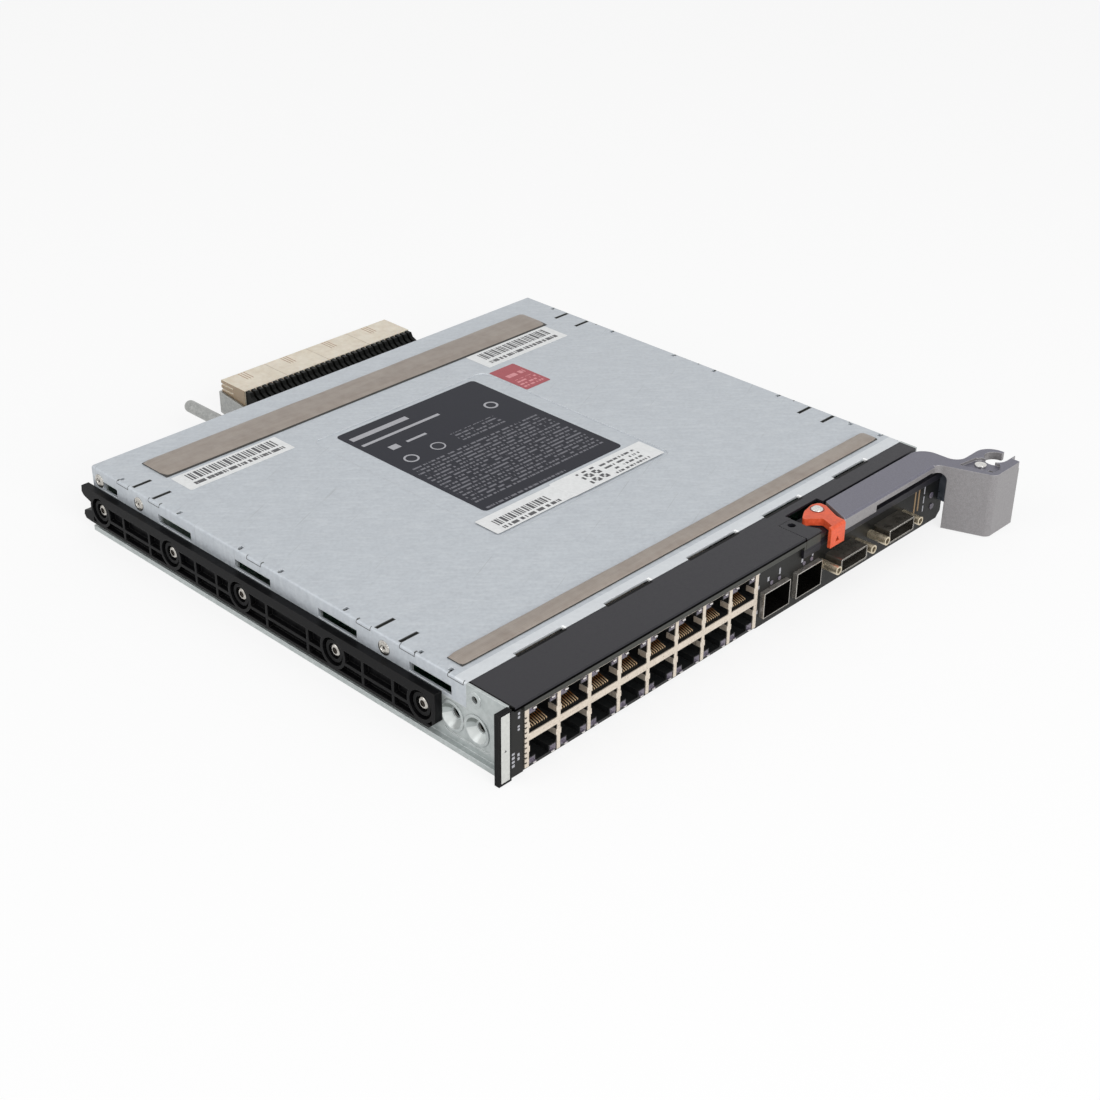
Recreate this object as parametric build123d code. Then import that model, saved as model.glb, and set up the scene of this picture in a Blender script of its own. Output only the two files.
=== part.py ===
from build123d import *
import os

os.makedirs("parts", exist_ok=True)

# All sizes are millimetres, and the object lies flat with its face towards minus Y.
# Places are measured from the left end of the face, the face plane and the underside.
face_width = 240.0
face_height = 26.6
body_depth = 221.0
left_margin = 5.4
right_margin = 2.8
sheet = 1.0

origin_x = -face_width / 2
origin_y = -body_depth / 2
body_left = left_margin
body_right = face_width - right_margin
body_width = body_right - body_left
body_middle = (body_left + body_right) / 2
lid_top = face_height
lid_bottom = lid_top - sheet


def spot(x, y, z):
    return Pos(origin_x + x, origin_y + y, z)


def slab(x0, x1, y0, y1, z0, z1):
    middle = spot((x0 + x1) / 2, (y0 + y1) / 2, (z0 + z1) / 2)
    return middle * Box(x1 - x0, y1 - y0, z1 - z0)


def flat_shape(points, z0, z1):
    placed = [(origin_x + x, origin_y + y) for x, y in points]
    outline = make_face(Polyline(*placed, close=True))
    return Pos(0, 0, z0) * extrude(outline, z1 - z0)


def rounded_shape(corners, z0, z1):
    # Each corner is its place and the radius that rounds it off
    solid = flat_shape([(x, y) for x, y, radius in corners], z0, z1)
    for x, y, radius in corners:
        if radius > 0:
            place = Vector(origin_x + x, origin_y + y, (z0 + z1) / 2)
            upright = solid.edges().filter_by(Axis.Z)
            edge = min(upright, key=lambda one: (one.center() - place).length)
            solid = fillet(edge, radius)
    return solid


def side_shape(points, x0, x1):
    outline = make_face(Polyline(*[(y, z) for y, z in points], close=True))
    solid = extrude(Plane.YZ * outline, x1 - x0)
    return spot(x0, 0, 0) * solid


def front_shape(points, y0, y1):
    outline = make_face(Polyline(*[(x, z) for x, z in points], close=True))
    solid = extrude(Plane.XZ * outline, -(y1 - y0))
    return spot(0, y0, 0) * solid


def rod_up(x, y, z0, z1, radius):
    return spot(x, y, (z0 + z1) / 2) * Cylinder(radius, z1 - z0)


def rod_back(x, z, y0, y1, radius):
    turned = Rot(90, 0, 0) * Cylinder(radius, y1 - y0)
    return spot(x, (y0 + y1) / 2, z) * turned


def rod_across(y, z, x0, x1, radius):
    turned = Rot(0, 90, 0) * Cylinder(radius, x1 - x0)
    return spot((x0 + x1) / 2, y, z) * turned


def other_side(shape):
    return mirror(shape, Plane.YZ.offset(origin_x + body_middle))


def both_sides(shape):
    return [shape, other_side(shape)]


def save(name, *shapes):
    solids = []
    for shape in shapes:
        solids.extend(shape.solids())
    piece = solids[0] if len(solids) == 1 else Compound(children=solids)
    export_step(piece, "parts/" + name + ".step")


# Side wall: windows in the lid flange, rail screws, lid screws and two dimpled holes
seam_z = face_height - 9.2
front_cover_depth = 19.0
arm_shelf = lid_top - 5.5
arm_back = 11.6
window_low = lid_top - 7.8
window_high = lid_top - 4.4
window_length = 19.5
window_first = 45.1
window_last = body_depth - 41.4
window_count = 4
rail_front = 30.1
rail_low = 4.2
rail_high = lid_top - 8.4
rail_screw_first = rail_front + 6.7
rail_screw_last = body_depth - 7.6
rail_screw_parts = [0, 0.242, 0.524, 0.751, 1]
rail_screw_z = (rail_low + rail_high) / 2
ring_outer = (rail_high - rail_low) * 0.45
rail_screw_radius = ring_outer * 0.238
lid_screw_y = [57.0, body_depth - 29.6, body_depth - 4.5]
lid_screw_z = lid_top - 4.8
lid_screw_radius = 1.5
lid_screw_head = 2.7
dimple_y = [14.8, 26.0]
dimple_z = seam_z - 6.7
dimple_hole = 1.8
dimple_mouth = 4.6
dimple_depth = 2.6
pad_front = 8.0
pad_back = rail_front - 0.5
pad_half = 6.3
ring_hole_y = 15.0
ring_hole_z = lid_top - 4.3

window_step = (window_last - window_first) / (window_count - 1)
windows = [(body_depth - 15.7, body_depth - 6.7)]
for index in range(window_count):
    window_end = window_first + window_step * index
    windows.append((window_end - window_length, window_end))
rail_screw_span = rail_screw_last - rail_screw_first
rail_screw_y = [rail_screw_first + rail_screw_span * part for part in rail_screw_parts]

# Plug-in connector at the back: its place decides the tongue, the guards and the pin
plug_width = 91.2
plug_offset = 20.2
plug_modules = 4
tongue_reach = 25.0
plug_length = 16.0
plug_left = body_middle + plug_offset - plug_width / 2
plug_right = plug_left + plug_width
tongue_left = plug_left - 29.9
tongue_right = plug_right + 8.9
tongue_end = body_depth + tongue_reach
plug_front = tongue_end + 1.0
plug_back = plug_front + plug_length

# Tray: one folded sheet with a hemmed lip along both sides and a tongue at the back
lip = 2.1
hem = 2 * sheet
wall_front = 1.2
vent_pitch = 9.0
vent_width = 5.0
vent_rows = [(5.0, 11.0), (14.0, lid_top - 6.6)]
tray_floor = slab(body_left - lip, body_right + lip, wall_front, body_depth, 0, sheet)
tongue = slab(tongue_left, tongue_right, body_depth - sheet, tongue_end, 0, sheet)
back_wall = slab(body_left, body_right, body_depth - sheet, body_depth, 0, seam_z)
back_wall = back_wall + slab(
    body_left + sheet, body_right - sheet, body_depth - sheet, body_depth,
    sheet, lid_bottom,
)
back_wall = back_wall - slab(
    tongue_left, tongue_right, body_depth - 3, body_depth + 3, sheet, lid_top
)
vents = []
vent_fields = [(body_left + 8.6, tongue_left - 6), (tongue_right + 6, body_right - 7)]
for x_start, x_end in vent_fields:
    for column in range(int((x_end - x_start) / vent_pitch)):
        x = x_start + column * vent_pitch
        for low, high in vent_rows:
            vents.append(
                slab(x, x + vent_width, body_depth - 3, body_depth + 3, low, high)
            )


def tray_side():
    # A shallow pressed pad surrounds the two dimpled holes ahead of the rail
    pad = slab(
        body_left - 1, body_left + 0.3, pad_front, pad_back,
        dimple_z - pad_half, dimple_z + pad_half,
    )
    pad = fillet(pad.edges().filter_by(Axis.X), 3.0)
    low_wall = slab(
        body_left, body_left + sheet, wall_front, body_depth, 0, seam_z
    )
    high_front = slab(
        body_left, body_left + sheet, wall_front, front_cover_depth, 0, lid_top - 0.2
    )
    joggle_step = slab(
        body_left, body_left + 2 * sheet, front_cover_depth, body_depth,
        seam_z - sheet, seam_z,
    )
    high_wall = slab(
        body_left + sheet, body_left + 2 * sheet, front_cover_depth + 0.4,
        body_depth, seam_z - sheet, lid_bottom,
    )
    corner_join = slab(
        body_left + sheet, body_left + 2 * sheet, front_cover_depth - sheet,
        front_cover_depth + 0.5, seam_z - sheet, lid_bottom - 0.6,
    )
    side_hem = slab(
        body_left - lip, body_left + sheet, wall_front, body_depth, 0, hem
    )
    side = low_wall + high_front + joggle_step + high_wall + corner_join + side_hem
    for y0, y1 in windows:
        side = side - slab(
            body_left - 1, body_left + 3, y0, y1, window_low - 1.2, window_high
        )
    for y in rail_screw_y:
        side = side - rod_across(
            y, rail_screw_z, body_left - 3, body_left + 3, rail_screw_radius
        )
    for y in lid_screw_y:
        side = side - rod_across(
            y, lid_screw_z, body_left - 3, body_left + 3, lid_screw_radius
        )
    side = side - pad
    turn = Rot(0, -90, 0)
    for y in dimple_y:
        cup = Cone(dimple_hole + sheet, dimple_mouth + sheet, dimple_depth + sheet)
        cup_spot = spot(body_left + (dimple_depth + sheet) / 2, y, dimple_z)
        hollow = Cone(dimple_hole + 0.6, dimple_mouth, dimple_depth)
        hollow_spot = spot(body_left + dimple_depth / 2, y, dimple_z)
        side = side + cup_spot * (turn * cup)
        side = side - hollow_spot * (turn * hollow)
        side = side - rod_across(
            y, dimple_z, body_left, body_left + dimple_depth + 2, dimple_hole
        )
    side = side + rod_across(
        ring_hole_y, ring_hole_z, body_left - 0.3, body_left + sheet, 2.6
    )
    side = side - rod_across(
        ring_hole_y, ring_hole_z, body_left - 2, body_left + 3, 1.3
    )
    return side


tray = tray_floor + tongue + back_wall + tray_side() + other_side(tray_side())
for vent in vents:
    tray = tray - vent
tray = tray - slab(
    body_right - 2 * sheet, body_right + 1, 0, arm_back + 0.2, arm_shelf - sheet, 30
)

# Lid: flat sheet with down-turned sides, pressed label field, slots and relief holes
field_left = body_middle - 45.8
field_right = body_middle + 45.5
field_back = body_depth - 43.0
field_front = field_back - 103.2
field_depth = 0.3
lid_slot_y = [50.5, 61.9, body_depth - 37.4, body_depth - 25.2]
lid_slot_length = 7.6
lid_slot_width = 1.1
relief_parts = [0.125, 0.188, 0.351, 0.503, 0.603, 0.762, 0.923]
notch_first = 21.6
notch_step = body_width * 0.18
notch_lengths = [22.3, 22.3, 26.6, 21.3, 20.4]
lid_plate = slab(
    body_left, body_right, front_cover_depth, body_depth, lid_bottom, lid_top
)
for index, length in enumerate(notch_lengths):
    x0 = body_left + notch_first + notch_step * index
    lid_plate = lid_plate - slab(
        x0, x0 + length, front_cover_depth - 1, front_cover_depth + 1.5, 20, 30
    )
field = spot(
    (field_left + field_right) / 2, (field_front + field_back) / 2, lid_top
) * Box(field_right - field_left, field_back - field_front, 2 * field_depth)
field = fillet(field.edges().filter_by(Axis.Z), 4.0)
lid_plate = lid_plate - field


def lid_side():
    flange = slab(
        body_left, body_left + sheet, front_cover_depth, body_depth, seam_z, lid_top
    )
    for y0, y1 in windows:
        flange = flange - slab(
            body_left - 1, body_left + 3, y0, y1, window_low, window_high
        )
    for y in lid_screw_y:
        flange = flange - rod_across(
            y, lid_screw_z, body_left - 3, body_left + 3, lid_screw_radius
        )
    return flange


top_cover = lid_plate + lid_side() + other_side(lid_side())
bend_edges = [
    edge for edge in top_cover.edges().filter_by(Axis.Y)
    if edge.length > body_depth * 0.8 and edge.center().Z > lid_top - 0.01
]
top_cover = fillet(bend_edges, 0.9)
for y in lid_slot_y:
    slot = slab(
        body_left + 1.2, body_left + 1.2 + lid_slot_length,
        y - lid_slot_width / 2, y + lid_slot_width / 2, 20, 30,
    )
    for cut in both_sides(slot):
        top_cover = top_cover - cut
for part in relief_parts:
    y = body_depth * part
    relief = slab(body_left + 1.1, body_left + 2.9, y - 0.8, y + 0.8, 20, 30)
    for cut in both_sides(relief):
        top_cover = top_cover - cut

# Lid screws: three flat heads on each side
lid_screws = []
for y in lid_screw_y:
    head = spot(body_left - 0.3, y, lid_screw_z) * (
        Rot(0, -90, 0) * Cone(lid_screw_head, lid_screw_head - 0.7, 0.6)
    )
    socket = rod_across(y, lid_screw_z, body_left - 0.7, body_left - 0.2, 1.2)
    shank = rod_across(
        y, lid_screw_z, body_left, body_left + 2 * sheet + 2, lid_screw_radius
    )
    lid_screws.extend(both_sides(head - socket + shank))

# Side rails: moulded, with a web on the wall, edge flanges, ribs and ringed screw seats
rail_thick = 3.2
rail_back = body_depth
prong_back = body_depth + 4.0
prong_root = body_depth - 1.5
rail_web = 1.1
flange_band = 3.8
rib = 1.1
ring_wall = 1.1
seat_outer = ring_outer * 0.65
seat_inner = ring_outer * 0.46
mid_rib_z = rail_low + 4.4
rib_offsets = [-15.0, 13.0]


def make_rail():
    outer = body_left - rail_thick
    points = [
        (rail_front, rail_high), (rail_front, rail_low + 3), (rail_front + 3, rail_low),
        (rail_back, rail_low), (prong_back - 1, rail_low + 0.2),
        (prong_back, rail_low + 1.6), (prong_back - 0.6, rail_low + 3.6),
        (prong_root, rail_low + 5.2), (prong_root, rail_high - 5.2),
        (prong_back - 1.2, rail_high - 4.0), (prong_back, rail_high - 2.6),
        (prong_back - 0.4, rail_high),
    ]
    body = side_shape(points, outer, body_left)
    inner_low = rail_low + rib
    inner_high = rail_high - flange_band
    body = body - slab(
        outer - 1, body_left - rail_web, rail_front + 1.4, prong_root - 0.8,
        inner_low, inner_high,
    )
    ribs = slab(
        outer, body_left - rail_web, rail_front + 1, prong_root,
        mid_rib_z, mid_rib_z + rib,
    )
    for y in rail_screw_y:
        for offset in rib_offsets:
            place = y + offset
            if rail_front + 4 < place < prong_root - 2:
                ribs = ribs + slab(
                    outer, body_left - rail_web, place - rib / 2, place + rib / 2,
                    inner_low - 0.2, inner_high + 0.2,
                )
    body = body + ribs
    for y in rail_screw_y:
        ring = rod_across(y, rail_screw_z, outer, body_left - rail_web, ring_outer)
        body = body + ring
        body = body - rod_across(
            y, rail_screw_z, outer - 1, body_left - rail_web, ring_outer - ring_wall
        )
        seat = rod_across(
            y, rail_screw_z, outer + 0.7, body_left - rail_web, seat_outer
        )
        seat = seat - rod_across(y, rail_screw_z, outer, body_left, seat_inner)
        body = body + seat
        body = body - rod_across(
            y, rail_screw_z, outer - 1, body_left + 1, rail_screw_radius
        )
    return body


rail = make_rail()

# Rail screws: five on each side
rail_screws = []
for y in rail_screw_y:
    seat_x = body_left - rail_web
    head = rod_across(y, rail_screw_z, seat_x - 1.1, seat_x, seat_inner - 0.3)
    socket = rod_across(
        y, rail_screw_z, seat_x - 1.3, seat_x - 0.5, rail_screw_radius * 0.8
    )
    shank = rod_across(
        y, rail_screw_z, seat_x - 0.2, body_left + sheet + 2, rail_screw_radius
    )
    rail_screws.extend(both_sides(head + shank - socket))

# Face: as many jack columns as fit beside the cages, connectors and lever
right_group = 115.0
jack_first = 12.59
jack_pitch = 13.97
jack_columns = int((face_width - jack_first - right_group) / jack_pitch)
jack_low = 1.0
jack_high = lid_top - 3.6
jack_middle = (jack_low + jack_high) / 2
jack_depth = 26.0
jack_proud = 0.4
jack_left = jack_first - 1.0
jack_right = jack_first + jack_pitch * jack_columns + 1.0
divider = 2.6
mouth_width = 12.5
mouth_reach = (jack_high - jack_low - divider) / 2 - 0.4
mouth_height = mouth_reach - 2.4
notch_width = 6.0
lens_width = 2.6
lens_inner = notch_width / 2 + 0.4
cavity_depth = 14.5
shield = 0.4

cage_lefts = [face_width - 112.2, face_width - 93.7]
cage_width = 13.8
cage_height = 9.3
cage_low = 4.45
cage_wall = 0.4
cage_proud = 2.0
cage_depth = 47.0

shell_middles = [face_width - 67.0, face_width - 37.3]
shell_width = 16.0
shell_low = 8.5
shell_high = 14.2
shell_wall = 0.6
shell_proud = 7.0
shell_back = 14.0
post_offset = 10.6
post_z = (shell_low + shell_high) / 2
post_radius = 1.7
post_proud = 8.0
post_hole = 1.1

light_spots = [(face_width - 8.0, 12.1, 1.2), (face_width - 6.9, 6.9, 1.2)]
for x in cage_lefts:
    light_spots.append((x + 5.4, cage_low + cage_height + 2.0, 0.8))
    light_spots.append((x + 9.8, cage_low + cage_height + 2.0, 0.8))

panel_thick = 1.0
panel_high = lid_top - 1.4
shelf_left = face_width - 89.3
panel_points = [
    (left_margin + 0.2, 0), (jack_left - 0.4, 0), (jack_left - 0.4, 0.4),
    (jack_right + 0.4, 0.4), (jack_right + 0.4, 0), (face_width - 2.5, 0),
    (face_width, 2.5), (face_width, arm_shelf - sheet),
    (shelf_left, arm_shelf - sheet), (shelf_left, panel_high - 0.2),
    (left_margin + 0.2, panel_high - 0.2),
]
front_panel = front_shape(panel_points, 0, panel_thick)
front_panel = front_panel - slab(
    jack_left, jack_right, -1, 3, jack_low, jack_high
)
for x in cage_lefts:
    front_panel = front_panel - slab(
        x - cage_wall, x + cage_width + cage_wall, -1, 3,
        cage_low - cage_wall, cage_low + cage_height + cage_wall,
    )
for x in shell_middles:
    front_panel = front_panel - slab(
        x - shell_width / 2, x + shell_width / 2, -1, 3, shell_low, shell_high
    )
    for side in (-1, 1):
        front_panel = front_panel - rod_back(
            x + side * post_offset, post_z, -1, 3, post_hole
        )
for x, z, radius in light_spots:
    front_panel = front_panel - rod_back(x, z, -1, 3, radius)

# Black top cover of the face, stepped down at the right for the closed lever
cover_proud = 1.2
cover_top = lid_top - 0.2
cover_low = lid_top - 3.1
fold_high = 1.1
cover_section = [
    (-cover_proud, cover_low), (-cover_proud, cover_top - fold_high),
    (-cover_proud + 0.7, cover_top), (front_cover_depth, cover_top),
    (front_cover_depth, cover_top - sheet), (0, cover_top - sheet), (0, cover_low),
]
cover_left_part = side_shape(cover_section, body_left + sheet, shelf_left)
cover_left_part = cover_left_part - slab(
    body_left, jack_left - 1.0, -cover_proud - 1, 0, cover_low - 1, cover_top - fold_high
)
step_section = [
    (-cover_proud, arm_shelf - 2.4), (-cover_proud, arm_shelf),
    (arm_back, arm_shelf), (arm_back, cover_top), (front_cover_depth, cover_top),
    (front_cover_depth, cover_top - sheet), (arm_back + sheet, cover_top - sheet),
    (arm_back + sheet, arm_shelf - sheet), (0, arm_shelf - sheet),
    (0, arm_shelf - 2.4),
]
cover_step_part = side_shape(step_section, shelf_left, body_right - sheet)
end_web = slab(
    shelf_left - sheet, shelf_left, -cover_proud, front_cover_depth,
    arm_shelf - 2.4, cover_top - sheet,
)
end_web = end_web - slab(shelf_left - 3, shelf_left + 3, 0, panel_thick, 0, panel_high)
front_cover = cover_left_part + cover_step_part + end_web

# End cap and its bright strip
strip_width = 3.6
strip_inset = 0.3
end_cap = slab(0, left_margin, -0.8, wall_front, 0, lid_top)
end_cap = end_cap - slab(
    1.0, 1.0 + strip_width, -1.8, -0.8 + strip_inset, 0.9, lid_top - 0.8
)
end_strip = slab(
    1.0, 1.0 + strip_width, -0.8 - 0.05, -0.8 + strip_inset, 0.9, lid_top - 0.8
)

# Circuit board: notched for the jack block and carried on spacers
board_low = 2.4
board_high = 4.0
board_left = body_left + 2.6
board_right = body_right - 2.6
board_front = 2.5
board_back = body_depth - 2.0
board_tail_left = tongue_left + 6.0
board_tail_right = tongue_right - 4.0
board_tail_end = plug_front
jack_step = 12.0
board = slab(board_left, board_right, board_front, board_back, board_low, board_high)
board = board + slab(
    board_tail_left, board_tail_right, board_back - 1, board_tail_end,
    board_low, board_high,
)
board = board - slab(
    board_left - 1, jack_right + 0.4, board_front - 1, jack_step, 0, 9
)
spacer_places = [
    (board_left + 8.0, 60.0), (board_left + 8.0, board_back - 14.0),
    (board_right - 8.6, 60.0), (board_right - 8.6, board_back - 14.0),
    (body_middle + 30.7, body_depth * 0.68), (plug_left - 11.9, board_back - 5.0),
    (plug_right - 1.1, board_back - 5.0),
]
spacer_radius = 3.0
board_screw = 1.25
spacers = []
board_screws = []
for x, y in spacer_places:
    board = board - rod_up(x, y, 0, 9, board_screw)
    bored = rod_up(x, y, sheet, board_low, spacer_radius)
    spacers.append(bored - rod_up(x, y, 0, board_low + 1, board_screw))
    shank = rod_up(x, y, sheet + 0.1, board_high, board_screw)
    screw_head = rod_up(x, y, board_high, board_high + 1.6, 2.5)
    board_screws.append(shank + screw_head)

# Jack block: a moulded body with two rows of sockets inside a thin folded shield


def row_span(row, start, end):
    # The lower row opens downwards from the divider, and the upper row upwards
    if row == 0:
        base = jack_middle - divider / 2
        return base - end, base - start
    base = jack_middle + divider / 2
    return base + start, base + end


jack_shield = slab(
    jack_left, jack_right, -jack_proud, jack_depth, jack_low, jack_high
)
jack_shield = jack_shield - slab(
    jack_left + shield, jack_right - shield, -jack_proud + shield,
    jack_depth - shield, jack_low - 1, jack_high - shield,
)
jack_body = slab(
    jack_left + shield, jack_right - shield, -jack_proud + shield,
    jack_depth - shield, jack_low, jack_high - shield,
)
under_board = slab(
    jack_left - 1, jack_right + 1, jack_step - 0.3, jack_depth + 1, 0, board_high
)
jack_shield = jack_shield - under_board
jack_body = jack_body - under_board
comb_pitch = 1.9
comb_count = int((jack_high - jack_low - 2) / comb_pitch)
for index in range(comb_count):
    z = jack_low + 1.4 + index * comb_pitch
    jack_shield = jack_shield - slab(
        jack_left - 1, jack_left + 0.9, -1, 1.6, z, z + 0.7
    )

# Sockets: mouth, latch notch, two lenses and two side springs of the shield
spring_thick = 0.4
spring_depth = 3.2
lens_nose = 0.9
nose_width = 1.3
lens_front = -0.1
lens_back = 3.0
sockets = []
for column in range(jack_columns):
    for row in (0, 1):
        sockets.append((jack_first + jack_pitch * (column + 0.5), row))
jack_lights = []
shield_cuts = []
body_cuts = []
shield_springs = []
half_mouth = mouth_width / 2
for middle, row in sockets:
    reach = mouth_reach if row else mouth_reach + 1
    shield_cuts.append(slab(
        middle - half_mouth, middle + half_mouth, -2, 0.05, *row_span(row, 0, reach)
    ))
    body_cuts.append(slab(
        middle - half_mouth, middle + half_mouth, -2, cavity_depth,
        *row_span(row, 0, mouth_height),
    ))
    body_cuts.append(slab(
        middle - notch_width / 2, middle + notch_width / 2, -2, cavity_depth,
        *row_span(row, 0, mouth_reach),
    ))
    lens_span = row_span(row, mouth_height + 0.3, mouth_reach - 0.1)
    nose_span = row_span(row, mouth_reach - 0.8, mouth_reach - 0.1)
    spring_span = row_span(row, 2.1, 4.2)
    for side in (-1, 1):
        inner = middle + side * lens_inner
        outer = middle + side * (lens_inner + lens_width)
        lens = slab(
            min(inner, outer), max(inner, outer), lens_front, lens_back, *lens_span
        )
        body_cuts.append(lens)
        nose_outer = inner + side * nose_width
        jack_lights.append(lens + slab(
            min(inner, nose_outer), max(inner, nose_outer), -lens_nose, 0, *nose_span
        ))
        edge = middle + side * half_mouth
        root = edge + side * 0.3
        tip = edge - side * spring_thick
        blade_side = edge - side * 0.05
        shield_springs.append(slab(
            min(root, tip), max(root, tip), -jack_proud, 0, *spring_span
        ))
        shield_springs.append(slab(
            min(blade_side, tip), max(blade_side, tip), -jack_proud, spring_depth,
            *spring_span,
        ))
jack_shield = (jack_shield - shield_cuts) + shield_springs
jack_body = jack_body - body_cuts

# Gold contacts: eight slanted wires in every socket
contact_count = 8
contact_pitch = 1.02
contact_width = 0.45
contact_front = 1.6
contact_back = 9.5
contact_rise = 2.2
jack_contacts = []
for middle, row in sockets:
    low_front = row_span(row, 0, 0.4)
    low_back = row_span(row, contact_rise, contact_rise + 0.4)
    wire_path = [
        (contact_back, low_back[0]), (contact_back, low_back[1]),
        (contact_front, low_front[1]), (contact_front, low_front[0]),
    ]
    for index in range(contact_count):
        x = middle + (index - (contact_count - 1) / 2) * contact_pitch
        wire = side_shape(wire_path, x - contact_width / 2, x + contact_width / 2)
        jack_contacts.append(wire)

# Small cages: folded, open at the mouth and closed at the back, with a socket inside
cages = []
cage_sockets = []
for x in cage_lefts:
    cage = slab(
        x - cage_wall, x + cage_width + cage_wall, -cage_proud, cage_depth,
        cage_low - cage_wall, cage_low + cage_height + cage_wall,
    )
    cage = cage - slab(
        x, x + cage_width, -cage_proud - 1, cage_depth - cage_wall,
        cage_low, cage_low + cage_height,
    )
    catch_hole = flat_shape(
        [(x + cage_width / 2 - 2.2, 7.0), (x + cage_width / 2 + 2.2, 7.0),
         (x + cage_width / 2, 3.4)],
        board_high - 1, cage_low + 1,
    )
    for row in range(4):
        for side_x in (x - 1, x + cage_width - 1):
            cage = cage - slab(
                side_x, side_x + 2, 12 + row * 8, 15 + row * 8,
                cage_low + 2.5, cage_low + 5.5,
            )
    cages.append(cage - catch_hole)
    socket = slab(
        x + 1.5, x + cage_width - 1.5, cage_depth - 9.4, cage_depth - cage_wall,
        cage_low, cage_low + 6.0,
    )
    socket = socket - slab(
        x + 2.6, x + cage_width - 2.6, cage_depth - 10, cage_depth - 3,
        cage_low + 2.2, cage_low + 4.0,
    )
    cage_sockets.append(socket)

# Shielded connectors: a proud metal shell, a moulded core and two threaded posts each
shells = []
cores = []
posts = []
core_front = 2.0
for x in shell_middles:
    half = shell_width / 2
    shell = slab(x - half, x + half, -shell_proud, shell_back, shell_low, shell_high)
    shell = fillet(shell.edges().filter_by(Axis.Y), 0.8)
    inside = slab(
        x - half + shell_wall, x + half - shell_wall, -shell_proud - 1, shell_back + 1,
        shell_low + shell_wall, shell_high - shell_wall,
    )
    inside = fillet(inside.edges().filter_by(Axis.Y), 0.3)
    shells.append(shell - inside)
    core_low = shell_low + shell_wall
    core_high = shell_high - shell_wall
    core = slab(
        x - half + shell_wall, x + half - shell_wall, core_front, shell_back,
        core_low, core_high,
    )
    core = fillet(core.edges().filter_by(Axis.Y), 0.3)
    core = core - slab(
        x - half + 2.0, x + half - 2.0, core_front - 1, shell_back - 3,
        core_low + 1.3, core_high - 1.3,
    )
    foot = slab(
        x - half - 4.2, x + half + 4.2, shell_back, shell_back + 6.0,
        board_high, shell_high,
    )
    cores.append(core + foot)
    for side in (-1, 1):
        place = x + side * post_offset
        post = rod_back(place, post_z, -post_proud, 0, post_radius)
        tail = rod_back(place, post_z, 0, shell_back, post_hole)
        hole = rod_back(place, post_z, -post_proud - 1, -post_proud + 5, post_hole)
        posts.append(post + tail - hole)

# Status lights: clear pipes from the board to the panel
lights = []
for x, z, radius in light_spots:
    pipe = rod_back(x, z, -0.3, 9.0, radius)
    stalk_low = board_high
    if z > cage_low + cage_height:
        stalk_low = cage_low + cage_height + cage_wall
    stalk = slab(x - radius + 0.1, x + radius - 0.1, 7.0, 9.2, stalk_low, z)
    lights.append(pipe + stalk)

# Plug at the back: pale housings with a row of dark blades in front of them
plug_low = board_high
plug_high = lid_top - 8.6
blades_per_module = 8
blade_length = 11.0
module_width = plug_width / plug_modules
blade_pitch = module_width / blades_per_module
blade_thick = blade_pitch * 0.6
blade_front = plug_front - blade_length
housings = []
for module in range(plug_modules):
    x0 = plug_left + module * module_width
    x1 = x0 + module_width
    block = slab(x0, x1, plug_front, plug_back, board_high, plug_high)
    for blade in range(blades_per_module):
        x = x0 + (blade + 0.5) * blade_pitch
        block = block - slab(
            x - 0.5, x + 0.5, plug_back - 6.0, plug_back + 1,
            plug_low + 1.5, plug_high - 1.5,
        )
    if module == 0:
        for groove in range(5):
            z = plug_low + 3.0 + groove * 2.2
            block = block - slab(
                x0 - 1, x0 + 0.5, plug_front + 8, plug_back + 1, z, z + 0.9
            )
    housings.append(block)
blade_points = [
    (plug_front, plug_low), (plug_front, plug_high - 0.2),
    (plug_front - 2.6, plug_high - 0.2), (plug_front - 3.6, plug_high - 2.0),
    (plug_front - 6.0, plug_high - 3.0), (plug_front - 7.4, plug_high - 6.0),
    (blade_front, plug_low + 3.0), (blade_front, plug_low),
]
blades = []
for index in range(plug_modules * blades_per_module):
    x = plug_left + (index + 0.5) * blade_pitch
    blades.append(side_shape(blade_points, x - blade_thick / 2, x + blade_thick / 2))

# Guide pin with its foot, and the steel guard plates beside the plug
pin_x = plug_left - 15.9
pin_z = (board_high + plug_high) / 2
pin_radius = 2.6
pin_tail_radius = 2.0
pin_shoulder = tongue_end - 13.0
pin_back = plug_back + 3.0
guide_pin = rod_back(pin_x, pin_z, pin_shoulder - 6, pin_shoulder, pin_tail_radius)
guide_pin = guide_pin + rod_back(
    pin_x, pin_z, pin_shoulder, pin_back - pin_radius, pin_radius
)
guide_pin = guide_pin + spot(pin_x, pin_back - pin_radius, pin_z) * Sphere(pin_radius)
guide_foot = slab(
    pin_x - 5, pin_x + 5, pin_shoulder - 10, pin_shoulder, board_high, pin_z + 3.6
)
guide_foot = guide_foot - rod_back(
    pin_x, pin_z, pin_shoulder - 6, pin_shoulder + 1, pin_tail_radius
)
guard_high = plug_high - 4.7
guard_gap = 0.4
guard_points = [
    (tongue_end - 22, sheet), (tongue_end, sheet), (plug_back, board_low + 1.1),
    (plug_back, guard_high), (plug_front + 2, guard_high - 1.7),
    (tongue_end - 10, guard_high - 4), (tongue_end - 22, guard_high - 6),
]
guards = []
for x in (plug_left - guard_gap - sheet, plug_right + guard_gap):
    guards.append(side_shape(guard_points, x, x + sheet))
    board = board - slab(
        x - 0.2, x + sheet + 0.2, tongue_end - 22.4, board_tail_end + 1, 0, 9
    )

# Seals: two conductive strips on the lid, thinner along their front edges
seal_high = 1.2
back_seal_front = body_depth - 27.7
back_seal_back = body_depth - 11.9
front_seal_front = front_cover_depth + 7.2
front_seal_back = front_cover_depth + 14.3


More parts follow.
